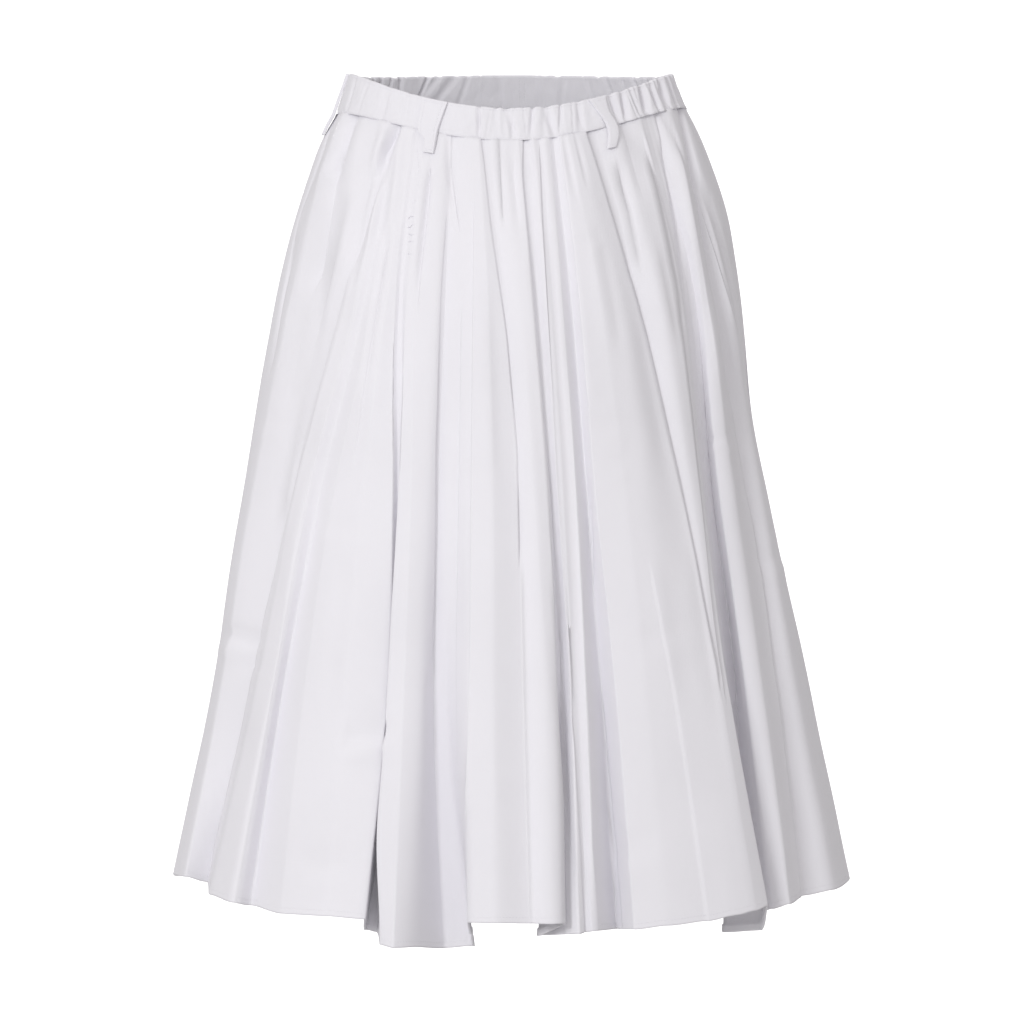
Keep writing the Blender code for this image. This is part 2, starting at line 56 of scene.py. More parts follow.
# ------------------------------------------------------------------ sizes from the part's source
CLOTH = 0.7  # a single layer of cotton, with a little for the turned edges
LOOP_CLOTH = 1.8
SEAM_GAP = 0.3
BAND_TOP = 15.0
BAND_FOOT = -15.0
TOP_DIP = 36.0
SEAM_DIP = 33.5
TOP_DIP_POWER = 2.0
SEAM_DIP_POWER = 2.6
BACK_RISE = 7.0
LEFT_SEAM_DIP = 5.0
BAND_TOP_SHAPE = (138.0, 97.0)
BAND_FOOT_SHAPE = (149.0, 104.0)
LEVEL_DOWN = (0.0, 0.2, 0.47, 0.73, 1.0)

Profile = namedtuple("Profile", "down left right front back")
PROFILE = table(Profile, [
    (0.00, 149, 149, 104, 104),
    (0.03, 160, 159, 112, 113),
    (0.08, 172, 172, 125, 128),
    (0.14, 184, 184, 138, 143),
    (0.20, 194, 191, 148, 155),
    (0.30, 207, 199, 160, 168),
    (0.40, 218, 205, 171, 180),
    (0.50, 228, 218, 181, 190),
    (0.60, 239, 232, 191, 200),
    (0.70, 248, 247, 200, 209),
    (0.80, 260, 260, 209, 217),
    (0.90, 274, 274, 218, 225),
    (1.00, 287, 288, 226, 232),
])

# The folds, round from the left side by the front. A front fold's places are its distance to the
# right of the centre front, and inside is its depth inside the tube, both at LEVEL_DOWN.
FrontFold = namedtuple("FrontFold", "kind across inside hem")
FRONT_FOLDS = table(FrontFold, [
    ("crest", (-140, -178, -214, -241, -273), (0, -1, -1, 0, 2), 663),
    ("valley", (-111, -135, -180, -215, -255), (2, 6, 10, 14, 22), 668),
    ("edge", (-108, -132, -177, -211, -251), (0, 2, 3, 3, 4), 675),
    ("crest", (-105, -124, -167, -197, -228), (0, 0, -1, -3, -5), 679),
    ("valley", (-99, -117, -157, -189, -215), (2, 3, 6, 10, 14), 682),
    ("crest", (-92, -110, -146, -171, -189), (0, 0, 1, 1, 2), 686),
    ("crest", (-85, -101, -123, -137, -151), (0, -1, -2, -3, -3), 686),
    ("edge", (-82, -95, -97, -101, -118), (0, 1, 2, 6, 3), 688),
    ("valley", (-79, -92, -93, -94, -119), (1, 3, 7, 20, 44), 700),
    ("valley", (-76, -89, -88, -87, -110), (1, 3, 7, 20, 50), 702),
    ("edge", (-72, -86, -93, -102, -106), (0, 0, -1, -2, 0), 708),
    ("crest", (-66, -79, -82, -88, -95), (0, -1, -4, -6, -7), 710),
    ("slope", (-55, -61, -68, -73, -81), (1, 2, 2, 3, 6), 710),
    ("valley", (-49, -54, -60, -63, -54), (3, 7, 12, 26, 52), 714),
    ("valley", (-42, -46, -50, -51, -31), (2, 5, 10, 24, 50), 712),
    ("edge", (-32, -32, -33, -36, -36), (0, 0, -1, -2, 0), 689),
    ("crest", (-27, -19, -15, -14, -11), (0, -1, -3, -4, -5), 689),
    ("valley", (-23, -6, 6, 10, 15), (2, 4, 5, 5, 6), 690),
    ("crest", (-9, 7, 20, 28, 31), (0, 0, -1, -2, -3), 690),
    ("edge", (6, 17, 30, 40, 46), (1, 1, 1, 2, 3), 690),
    ("valley", (10, 21, 33, 36, 22), (3, 5, 9, 16, 30), 702),
    ("valley", (13, 24, 36, 40, 26), (3, 5, 8, 20, 39), 702),
    ("crest", (18, 30, 42, 50, 55), (0, 2, 3, 6, 6), 699),
    ("valley", (23, 35, 48, 56, 61), (2, 5, 7, 10, 14), 698),
    ("crest", (29, 41, 54, 62, 68), (0, 2, 4, 6, 8), 697),
    ("valley", (35, 49, 63, 76, 86), (4, 9, 16, 28, 42), 698),
    ("edge", (41, 56, 70, 87, 100), (0, 0, 2, 4, 5), 696),
    ("crest", (47, 73, 95, 112, 128), (-1, -2, -2, -2, -2), 693),
    ("slope", (54, 88, 116, 139, 160), (0, 0, -3, -5, -6), 690),
    ("valley", (64, 101, 140, 164, 183), (4, 8, 1, -6, -10), 686),
    ("crest", (85, 121, 150, 173, 200), (0, -1, -2, -7, -11), 683),
    ("edge", (108, 139, 158, 180, 211), (1, 2, 2, -3, -6), 680),
    ("slope", (110, 142, 160, 180, 206), (2, 6, 10, 14, 14), 702),
    ("valley", (113, 146, 163, 182, 175), (3, 9, 16, 25, 40), 704),
    ("valley", (117, 150, 168, 188, 184), (3, 9, 16, 27, 49), 704),
    ("edge", (121, 154, 173, 195, 216), (2, 4, 7, 9, 14), 685),
    ("crest", (134, 160, 183, 207, 230), (0, 0, 3, 3, 4), 681),
    ("valley", (143, 169, 198, 224, 245), (2, 6, 7, 9, 18), 677),
    ("crest", (147, 179, 209, 238, 270), (0, 0, 0, 0, 0), 673),
])

BackFold = namedtuple("BackFold", "kind waist_angle hem_angle inside hem")
BACK_FOLDS = table(BackFold, [
    ("valley", 97, 98, (1, 3, 6, 10, 15), 671),
    ("crest", 103, 104, (0, 0, -1, -2, -3), 671),
    ("crest", 110, 113, (0, -1, -2, -3, -3), 672),
    ("valley", 115, 117, (3, 8, 14, 22, 32), 680),
    ("edge", 119, 119, (0, 0, 0, 0, 1), 674),
    ("crest", 127, 127, (0, -1, -3, -4, -5), 673),
    ("valley", 132, 133, (2, 5, 7, 9, 10), 675),
    ("crest", 138, 139, (0, 0, -1, -2, -3), 674),
    ("valley", 143, 145, (4, 10, 18, 30, 44), 684),
    ("edge", 147, 148, (1, 1, 2, 2, 2), 675),
    ("crest", 155, 156, (0, -2, -4, -5, -6), 674),
    ("slope", 161, 163, (1, 2, 2, 2, 1), 675),
    ("valley", 166, 168, (4, 9, 15, 24, 36), 682),
    ("edge", 170, 171, (0, 1, 2, 3, 3), 676),
    ("crest", 179, 180, (0, -2, -3, -5, -6), 675),
    ("valley", 186, 188, (2, 5, 7, 8, 9), 676),
    ("crest", 191, 193, (0, 0, -1, -2, -3), 675),
    ("valley", 197, 199, (5, 11, 20, 32, 48), 685),
    ("edge", 201, 202, (1, 1, 1, 1, 2), 676),
    ("crest", 208, 209, (0, -2, -4, -5, -5), 675),
    ("slope", 216, 217, (0, 0, -1, -1, -2), 674),
    ("valley", 221, 223, (4, 9, 15, 22, 33), 681),
    ("edge", 225, 226, (0, 1, 1, 2, 2), 674),
    ("crest", 233, 234, (0, -1, -3, -4, -4), 672),
    ("valley", 239, 241, (3, 6, 9, 14, 20), 676),
    ("crest", 244, 246, (0, 0, 0, -1, -2), 671),
    ("crest", 253, 255, (0, -1, -2, -3, -3), 669),
    ("valley", 259, 260, (2, 5, 9, 13, 18), 671),
    ("crest", 264, 265, (0, 0, 0, 0, 0), 668),
])
LEFT_SIDE_HEM = 665
RIGHT_SIDE_HEM = 668
SIDE_MOST = 0.999  # the share of the tube's half width that a front fold reaches at most

Gather = namedtuple("Gather", "top_angle foot_angle top foot half_width depth")
GATHERS = table(Gather, [
    (-78, -76, 0.02, 0.36, 3.0, 3.0), (-62, -59, 0.00, 0.24, 3.0, 4.5),
    (-52, -57, 0.08, 0.50, 1.6, 3.0), (-40, -43, 0.00, 0.22, 2.6, 5.0),
    (-34, -35, 0.12, 0.34, 2.0, 2.5), (-24, -23, 0.03, 0.20, 1.6, 2.5),
    (-21, -14, 0.00, 0.13, 1.5, 2.5), (-6, -3, 0.00, 0.10, 1.3, 2.0),
    (0, 2, 0.00, 0.12, 1.4, 2.2), (6, 7, 0.00, 0.08, 1.2, 2.0), (17, 18, 0.00, 0.09, 1.4, 2.2),
    (21, 22, 0.00, 0.07, 1.3, 2.0), (30, 32, 0.00, 0.12, 1.8, 2.6),
    (34, 33, 0.04, 0.20, 2.0, 3.0), (39, 41, 0.00, 0.08, 1.6, 2.4),
    (44, 46, 0.00, 0.11, 1.8, 2.6), (54, 51, 0.03, 0.24, 2.4, 4.0),
    (59, 60, 0.00, 0.10, 2.0, 2.6), (66, 80, 0.08, 0.30, 3.6, 3.0),
    (80, 84, 0.00, 0.14, 2.6, 3.0), (100, 102, 0.00, 0.12, 2.0, 3.0),
    (107, 108, 0.00, 0.20, 2.2, 3.6), (123, 124, 0.00, 0.16, 2.0, 3.0),
    (129, 130, 0.00, 0.08, 1.6, 2.4), (136, 137, 0.00, 0.22, 2.2, 3.4),
    (151, 152, 0.00, 0.14, 2.0, 3.0), (158, 159, 0.00, 0.09, 1.8, 2.4),
    (175, 176, 0.00, 0.18, 2.0, 3.0), (194, 195, 0.00, 0.12, 1.8, 2.6),
    (205, 206, 0.00, 0.20, 2.2, 3.4), (212, 213, 0.00, 0.10, 1.8, 2.6),
    (229, 230, 0.00, 0.15, 2.0, 3.0), (236, 237, 0.00, 0.08, 1.6, 2.4),
    (248, 249, 0.00, 0.22, 2.4, 3.6), (257, 256, 0.00, 0.12, 2.0, 3.0),
])
GATHER_AT_SEAM = 0.3
GATHER_OPENS = 0.035
GATHER_FADE_POWER = 0.7

Pucker = namedtuple("Pucker", "angle depth")
FRONT_PUCKERS = table(Pucker, [
    (-47.0, 0.5), (-38.0, 0.6), (-33.0, 0.4), (-10.7, 0.9), (-7.6, 1.2), (-4.7, 1.1),
    (-2.3, 1.3), (0.6, 1.2), (4.7, 1.0), (7.4, 1.3), (11.0, 1.1), (13.8, 1.3), (17.4, 1.4),
    (21.0, 1.1), (24.0, 1.3), (37.5, 1.2), (41.0, 1.4), (45.0, 1.5), (48.6, 1.2), (52.5, 1.5),
    (57.0, 1.4), (61.5, 1.5), (66.0, 1.3), (71.0, 1.5), (76.0, 1.4), (81.5, 1.5),
])
BACK_PUCKERS = ((95.0, 172.0, 16), (190.0, 265.0, 15))
PUCKER_SWAY = 1.1
PUCKER_SWAY_STEP = 2.4
PUCKER_HALF_WIDTH = 1.6
PUCKER_DEPTH = 1.3
PUCKER_DEPTH_SWAY = 0.3
RUFFLE = 1.2
BAND_LEVELS = (0.0, 0.14, 0.5, 0.86, 1.0)
BAND_LEVEL_PUCKER = (0.5, 0.6, 1.0, 0.7, 0.8)

Loop = namedtuple("Loop", "name angle outline")
LOOPS = (
    Loop("belt_loop_front_left", -26.5, "left"),
    Loop("belt_loop_front_right", 32.5, "right"),
    Loop("belt_loop_side_right", 106.0, "plain"),
    Loop("belt_loop_back", 181.0, "plain"),
    Loop("belt_loop_side_left", -88.0, "plain"),
)
LoopRow = namedtuple("LoopRow", "height lift left right plain")
LOOP_OUTLINE = (
    LoopRow(1.00, 0.4, (10.8, 8.2), (9.7, 3.2), (7.0, 7.0)),
    LoopRow(0.50, 1.1, (9.0, 6.2), (4.2, 3.0), (6.5, 6.5)),
    LoopRow(0.05, 1.8, (8.1, 5.0), (0.8, 5.7), (6.0, 6.0)),
    LoopRow(-0.35, 1.8, (2.6, 5.3), (1.3, 5.2), (5.5, 5.5)),
    LoopRow(-1.00, 0.6, (1.2, 5.5), (4.4, 1.2), (5.0, 5.0)),
)
LOOP_BELOW_SEAM = 17.0

# ------------------------------------------------------------------ finer sizes for the looks
COLUMN_LENGTH = 3.8  # about how long a quad's side is at the hem
LINE_STEP = 0.03  # fold numbers across which a pressed edge steps down
LINE_GAP = 0.12  # the least fold numbers between two pressed edges
CROWD = 0.6  # how much denser the columns lie beside a pressed edge, from 0 to 1
DENSE_STEP = 0.05
FACES_CAMERA = 0.1
FOLLOW_MOST = 0.8  # fold numbers that a pressed edge may shift by from one level to the next
FOLLOW_SMOOTH = 3
PATH_END_ROOM = 1  # photo pixels past a path's ends at which a level still meets it
CRISP_COLUMN = 0.5  # a fold more crisp than this has a column of the mesh on it
AT_WAIST = 140  # a pressed edge that starts above this photo row starts at the waist seam
AT_HEM = 915
TUCK_UP = 1.4  # the panels' top edge lies hidden behind the band's turned lower edge
TUCK_IN = 0.4
HEM_LENGTH = 670.0  # about how far the hem lies from the waist seam
PANEL_ROWS = 107
ROWS_CROWD_TO_WAIST = 1.25  # above 1, the rows lie closer together near the waist
HEM_TURN = 6.0  # height of the narrow turned hem
HEM_TURN_CLOTH = 1.0  # how much thicker the cloth is there, on its inner side
HEM_STITCH_UP = 5.0
HEM_ROWS_UP = (HEM_TURN + 1.0, HEM_TURN, HEM_STITCH_UP, 1.5)  # the rows that shape the hem
ROW_LEAST = 0.002  # the least share of the way down between the other rows and those
ROUNDING = 0.01
BAND_COLUMNS = 900
BAND_ROWS = 18
PUCKER_LEAN = 1.2  # degrees
PUCKER_LEAN_STEP = 2.1  # the steps are radians of a sine from one pucker to the next
PUCKER_WIDTH = 0.7
PUCKER_WIDTH_SWAY = 0.45
PUCKER_WIDTH_STEP = 1.3
PUCKER_WIDTH_START = 0.5
PUCKER_REACH_STEP = 3.7
PUCKER_FADE = 0.8
PUCKER_FROM_TOP_EVERY = 3  # each third pucker fades towards the foot, the others to the top
BAND_FOLD_POWER = 0.5
BAND_FOLD_AT_TOP = 0.45
DRAWN_MOST = 2.2  # the puckers of the outer face are no deeper than this at its edges
BAND_FOOT_ROLL = 0.9  # how far the band's turned lower edge bulges over the seam at the right
BAND_FOOT_ROLL_FROM = (25.0, 45.0)  # the angles between which that bulge grows
BAND_FOOT_ROLL_TO = 100.0
BAND_FOOT_SINK = 0.7  # how far that edge turns in elsewhere
BAND_INSIDE = 4.4  # depth of the band's inner face
BAND_WALL_LEAST = 0.6
CRUMPLED_IN = 0.3
BAND_UNEVEN = ((9.0, 0.5), (4.0, 0.22))  # size and height of the crumples in the band
CRUMPLE_TALL = 1.6
BAND_EDGE_ROLL = 1.3
BAND_LOWEST = 0.012  # shares of its height at which the band's faces end
BAND_HIGHEST = 0.955
BAND_EDGE_STEPS = 8
BAND_FOOT_BULGE = 0.07
RUFFLE_MOST = 1.6
RUFFLE_POWER = 3
BAND_FOOT_DROP = 0.3
BAND_FOOT_SQUARE = 0.35
BAND_FOOT_STEPS = 6
BAND_FOOT_STITCHED = (46, 98)  # the stretch with a line of stitches over the seam
LOOP_ROWS = 26
LOOP_COLUMNS = 11
LOOP_ROUND = 0.35
LOOP_ROUND_STEPS = 2
LOOP_CROWN = 0.3  # how much higher a loop's middle lies than its edges
LOOP_INNER_LIFT = 0.4  # share of a loop's lift at which its folded inner layer lies
STITCH_PITCH = 2.8
STITCH_LENGTH = 2.1
THREAD = 0.42

# Deeper folds of the waistband's outer face, between the puckers.
BandFold = namedtuple("BandFold", "top_angle foot_angle half_width depth")
BAND_FOLDS = table(BandFold, [
    (-71.0, -69.5, 2.2, 1.0), (-60.0, -61.0, 1.8, 0.7), (-49.0, -47.5, 2.6, 1.2),
    (-38.5, -37.0, 2.0, 0.9), (-11.4, -10.2, 1.1, 2.2), (-5.6, -6.6, 1.6, 0.9),
    (-1.2, 1.4, 1.8, 2.2), (7.6, 6.2, 1.2, 2.2), (12.2, 14.4, 2.2, 2.6), (17.6, 15.8, 1.0, 1.8),
    (24.2, 23.2, 1.8, 1.8), (37.0, 38.4, 2.2, 3.4), (42.8, 41.2, 2.0, 4.8),
    (46.4, 47.6, 1.4, 2.6), (52.8, 50.8, 3.0, 6.6), (58.6, 57.6, 1.8, 3.8),
    (65.8, 63.2, 3.4, 6.8), (72.6, 71.6, 2.2, 4.6), (80.2, 78.2, 3.4, 6.0),
    (87.4, 86.8, 2.6, 3.6), (98.0, 99.5, 2.6, 2.2), (113.0, 111.5, 2.2, 1.8),
    (127.0, 129.0, 2.8, 2.4), (146.0, 144.5, 2.4, 1.8), (163.0, 164.5, 2.0, 1.6),
    (196.0, 197.5, 2.2, 1.8), (211.0, 209.0, 2.8, 2.4), (228.0, 229.5, 2.2, 2.0),
    (243.0, 241.5, 2.6, 2.2), (257.0, 258.0, 2.2, 1.8),
])

# Folds and stitched lines of the waistband's inner face, which shows through the waist opening.
InnerFold = namedtuple("InnerFold", "top_angle foot_angle half_width depth")
INNER_FOLDS = table(InnerFold, [
    (268, 266, 2.0, 2.2), (263, 261, 1.6, 1.6), (258, 256, 2.2, 2.6), (252, 251, 1.5, 1.5),
    (247, 244, 2.0, 2.4), (241, 240, 1.5, 1.6), (236, 233, 1.9, 2.4), (230, 229, 1.3, 1.3),
    (225, 222, 1.7, 2.0), (212, 216, 1.5, 2.8), (208, 217, 3.0, 1.4), (201, 210, 3.2, 1.5),
    (196, 199, 1.8, 1.0), (185, 183, 2.2, 0.7), (171, 169, 2.4, 0.8), (160, 163, 2.2, 1.0),
    (151, 149, 1.8, 1.1), (143, 140, 1.8, 1.4), (135, 134, 1.5, 1.6), (129, 126, 1.8, 2.0),
    (121, 120, 1.5, 1.7), (114, 112, 1.8, 2.2), (106, 105, 1.5, 1.8), (99, 98, 1.9, 2.3),
    (93, 92, 1.4, 1.6), (78, 79, 1.8, 1.8), (64, 62, 1.6, 1.8), (50, 51, 1.8, 1.7),
    (36, 35, 1.6, 1.6), (20, 22, 1.8, 1.5), (6, 5, 1.6, 1.5), (-9, -8, 1.8, 1.4),
    (-30, -29, 1.8, 1.4), (-52, -53, 1.8, 1.4), (-72, -71, 1.8, 1.6),
])
InnerLine = namedtuple("InnerLine", "top_angle foot_angle")
INNER_LINES = (InnerLine(190.5, 190.5), InnerLine(177.0, 177.0), InnerLine(175.2, 175.2))


# The photograph's camera stands in front of the garment. Paths below are given in the pixels of
# its frame, for the front as photographed and for the back as seen from straight behind.
CAMERA_AWAY = 4500.0
CAMERA_ACROSS = 0.85
CAMERA_HEIGHT = -357.3
FRAME_WIDTH = 870.4  # what the frame takes in at the garment's middle
SENSOR = 36.0
PHOTO_PIXEL = 0.85  # the size of one pixel there
PHOTO_MIDDLE = (511.0, 512.0)

# Pressed pleat edges: the cloth on one side lies over that on the other by a small sharp step,
# which fades out over the two widths, on the over side and on the under side. Where both sides
# turn in, the step is the depth of the sharp groove between them.
Pressed = namedtuple("Pressed", "over step over_width under_width path")
FRONT_PRESSED = table(Pressed, [
    ("both", 2.6, 2.5, 3, ((332, 120), (311, 180), (297, 220), (283, 290), (268, 380))),
    ("both", 4.6, 3, 6, ((355, 112), (345, 127), (330, 167), (325, 210), (316, 262),
        (310, 300))),
    ("right", 1.3, 6, 5, ((352, 170), (332, 262), (312, 350), (290, 470), (281, 530))),
    ("right", 2.6, 7, 9, ((376, 180), (352, 265), (325, 375), (300, 470), (270, 600),
        (238, 745), (205, 872))),
    ("both", 2.8, 4, 8, ((398, 126), (380, 155), (365, 190), (360, 235), (350, 275))),
    ("left", 1.0, 8, 8, ((388, 235), (376, 310), (366, 372), (352, 470))),
    ("right", 1.4, 4, 5, ((431, 155), (428, 200), (421, 260), (417, 320))),
    ("left", 1.8, 7, 8, ((447, 205), (441, 290), (435, 440), (433, 600), (428, 690))),
    ("left", 1.4, 5, 5, ((446, 138), (452, 185), (461, 235))),
    ("right", 1.0, 7, 6, ((457, 300), (454, 500), (456, 700), (461, 890))),
    ("right", 1.4, 9, 6, ((474, 190), (471, 420), (469, 650), (464, 830), (467, 930))),
    ("left", 1.8, 7, 7, ((480, 134), (484, 165), (490, 225), (506, 330), (517, 450),
        (519, 570))),
    ("left", 1.2, 8, 6, ((498, 134), (500, 175), (503, 230))),
    ("left", 1.0, 8, 7, ((519, 560), (523, 700), (526, 850), (530, 930))),
    ("left", 2.0, 6, 6, ((523, 136), (522, 175), (534, 300), (548, 480), (559, 640),
        (565, 800), (569, 930))),
    ("left", 1.6, 5, 5, ((539, 140), (542, 220), (550, 350), (559, 500), (569, 650),
        (577, 810), (584, 930))),
    ("right", 1.8, 9, 8, ((551, 136), (562, 190), (574, 250), (578, 320), (590, 420))),
    ("right", 1.4, 8, 8, ((592, 480), (594, 600), (608, 760), (622, 920))),
    ("left", 2.4, 9, 8, ((585, 130), (598, 170), (622, 250), (648, 340), (675, 460),
        (698, 570), (722, 690))),
    ("left", 1.4, 6, 6, ((612, 152), (629, 210), (640, 280))),
    ("right", 0.8, 10, 10, ((648, 560), (675, 700), (690, 800), (708, 930))),
    ("left", 2.6, 8, 7, ((647, 150), (655, 180), (678, 290), (690, 400), (707, 560),
        (724, 700))),
    ("both", 3.2, 3, 5, ((622, 122), (634, 165), (645, 205))),
    ("both", 3.4, 3, 4, ((657, 114), (666, 150), (672, 185))),
    ("both", 4.2, 4, 6, ((681, 110), (694, 160), (703, 200), (708, 240), (716, 310),
        (727, 370), (738, 420))),
    ("left", 1.8, 6, 6, ((700, 190), (715, 240), (731, 300), (742, 340))),
    ("left", 2.0, 6, 6, ((724, 360), (746, 480), (765, 590), (781, 712), (796, 840),
        (803, 920))),
])
BACK_PRESSED = table(Pressed, [
    ("right", 1.4, 5, 5, ((345, 120), (322, 200), (300, 300), (283, 390))),
    ("left", 1.8, 6, 6, ((368, 112), (350, 190), (330, 300), (300, 440))),
    ("right", 2.2, 7, 8, ((392, 112), (372, 200), (345, 330), (318, 480), (290, 640),
        (262, 800), (240, 930))),
    ("left", 1.6, 6, 6, ((414, 112), (400, 190), (388, 300), (370, 420))),
    ("right", 1.6, 7, 7, ((424, 112), (412, 230), (392, 420), (370, 600), (350, 760),
        (336, 930))),
    ("left", 2.2, 8, 7, ((452, 112), (444, 230), (430, 420), (418, 600), (404, 800),
        (396, 930))),
    ("left", 1.4, 5, 5, ((466, 112), (468, 170), (462, 260))),
    ("right", 1.6, 8, 7, ((484, 112), (480, 250), (470, 420), (462, 620), (458, 800),
        (452, 930))),
    ("left", 1.2, 7, 7, ((505, 112), (508, 170), (506, 250), (504, 340))),
    ("left", 2.0, 8, 7, ((528, 112), (534, 250), (542, 420), (552, 620), (560, 800),
        (566, 930))),
    ("right", 1.4, 5, 5, ((546, 112), (556, 180), (568, 280))),
    ("right", 1.8, 7, 8, ((566, 112), (580, 230), (604, 420), (626, 600), (648, 800),
        (660, 930))),
    ("left", 1.4, 6, 6, ((592, 112), (610, 190), (628, 280), (650, 400))),
    ("left", 2.2, 8, 7, ((614, 112), (640, 230), (672, 400), (700, 560), (726, 720),
        (752, 930))),
    ("right", 1.6, 6, 6, ((640, 112), (668, 210), (692, 320), (710, 430))),
    ("left", 1.6, 5, 5, ((664, 116), (690, 200), (712, 300), (735, 410))),
])
FOLDED_FROM = 0.2  # share of the way down from which creases follow the folds' own faces
FOLDED_OVER = 0.15
PRESSED_FADE = 30.0  # photo pixels over which a pressed edge starts or ends
PRESSED_OVER = 0.45  # share of the step by which the over side is raised

# Creases and dents across the folds: a soft trough from one point to another, with a low ridge
# on its lower side. Half width and depth are in millimetres.
Crease = namedtuple("Crease", "start end half_width depth")
FRONT_CREASES = table(Crease, [
    ((224, 634), (260, 642), 6.0, 3.4), ((244, 668), (262, 662), 6.0, 1.0),
    ((342, 742), (388, 730), 6.5, 3.2), ((352, 722), (384, 716), 8.0, 1.0),
    ((600, 394), (624, 401), 3.5, 0.9), ((602, 428), (622, 422), 3.0, 0.8),
    ((584, 242), (602, 236), 4.0, 0.9), ((700, 437), (736, 436), 4.0, 1.4),
    ((604, 470), (628, 462), 3.5, 0.7), ((488, 256), (502, 262), 4.0, 0.6),
    ((566, 520), (600, 512), 4.0, 0.5), ((318, 520), (352, 528), 7.0, 0.8),
    ((640, 640), (690, 628), 9.0, 0.8), ((480, 760), (512, 768), 8.0, 0.7),
    ((262, 420), (292, 426), 6.0, 0.8), ((756, 560), (786, 552), 7.0, 0.9),
    ((296, 860), (344, 868), 9.0, 0.9), ((610, 850), (660, 842), 10.0, 0.8),
    ((346, 150), (326, 262), 5.0, 1.8), ((372, 150), (345, 262), 6.0, 2.0),
    ((392, 152), (378, 242), 5.0, 1.8), ((408, 140), (396, 232), 4.0, 1.4),
    ((352, 300), (330, 425), 8.0, 1.5), ((396, 300), (390, 420), 9.0, 1.6),
    ((430, 175), (420, 285), 4.0, 1.4), ((302, 300), (289, 425), 6.0, 1.3),
    ((320, 440), (304, 565), 7.0, 1.2), ((286, 600), (262, 725), 8.0, 1.0),
    ((346, 560), (330, 705), 9.0, 0.9), ((458, 350), (457, 650), 6.0, 1.0),
    ((494, 300), (502, 470), 6.0, 0.9), ((534, 250), (546, 375), 5.0, 1.2),
    ((602, 230), (622, 345), 6.0, 1.4), ((642, 320), (668, 470), 8.0, 1.4),
    ((664, 250), (680, 335), 5.0, 1.8), ((690, 150), (712, 330), 5.0, 2.6),
    ((704, 190), (744, 400), 7.0, 3.6), ((724, 330), (752, 525), 8.0, 3.2),
    ((752, 520), (776, 700), 8.0, 1.8), ((668, 560), (690, 705), 8.0, 0.9),
    ((700, 560), (720, 705), 8.0, 1.2), ((780, 700), (806, 880), 9.0, 1.2),
    ((351, 116), (328, 186), 3.2, 4.6), ((330, 170), (313, 286), 3.2, 4.0),
    ((398, 124), (364, 196), 4.0, 3.2), ((366, 188), (351, 278), 4.0, 2.4),
])
BACK_CREASES = table(Crease, [
    ((260, 560), (300, 570), 6.0, 1.8), ((350, 470), (380, 462), 5.0, 1.0),
    ((420, 690), (455, 700), 7.0, 1.6), ((470, 340), (500, 346), 4.0, 0.9),
    ((560, 520), (596, 512), 5.0, 1.2), ((640, 640), (690, 652), 7.0, 1.8),
    ((700, 470), (738, 460), 5.0, 1.2), ((560, 800), (600, 806), 8.0, 1.0),
    ((330, 820), (370, 812), 8.0, 1.0), ((520, 240), (540, 246), 4.0, 0.8),
])

CREASE_FULL = 0.28  # share of a crease's length, from its middle, that has its whole depth
CREASE_FADE = 0.22
CREASE_RIDGE = 0.6
CREASE_RIDGE_AWAY = 1.7  # half widths

# Broad unevenness of cloth that has been worn: (size, depth) of each layer.
UNEVEN = ((70.0, 0.9), (24.0, 0.28))
UNEVEN_TALL = 2.2  # how much taller than wide it is

# How straight the cloth runs up to each kind of fold: 0 is a soft curve, 1 a sharp pressed line.
CRISP = {"edge": 0.9, "valley": 0.75, "crest": 0.6, "slope": 0.1}
CRISP_SIDE = 0.2
FOLD_CRISP = np.array(
    [CRISP_SIDE, *(CRISP[fold.kind] for fold in FRONT_FOLDS)]
    + [CRISP_SIDE, *(CRISP[fold.kind] for fold in BACK_FOLDS)]
)

# One front pleat leans over the gap at its left, which so opens only near the hem.
SHUT_FOLD = 10
SHUT_BY = 5.0
SHUT_AT = 0.87
SHUT_OVER = 0.09


# ------------------------------------------------------------------ the garment's surface
def read(knots, values, at):
    """A smooth curve through a table's rows, read at one place."""
    knots = np.array(knots, float)
    values = np.array(values, float)
    slopes = np.gradient(values, knots, axis=0)
    i = int(np.clip(np.searchsorted(knots, at, "right") - 1, 0, len(knots) - 2))
    step = knots[i + 1] - knots[i]
    t = (at - knots[i]) / step
    start = (2 * t**3 - 3 * t**2 + 1) * values[i] + (t**3 - 2 * t**2 + t) * step * slopes[i]
    end = (3 * t**2 - 2 * t**3) * values[i + 1] + (t**3 - t**2) * step * slopes[i + 1]
    return start + end


def tube(down):
    """(left, right, front, back) half sizes of the tube at this share of the way down."""
    return read([row.down for row in PROFILE], [row[1:] for row in PROFILE], down)


def on_tube(sizes, angle, inside):
    """The plan point at an angle, a depth inside the tube."""
    left, right, front, back = sizes
    width = (right if math.sin(angle) > 0 else left) - inside
    depth = (front if math.cos(angle) > 0 else back) - inside
    return width * math.sin(angle), -depth * math.cos(angle)


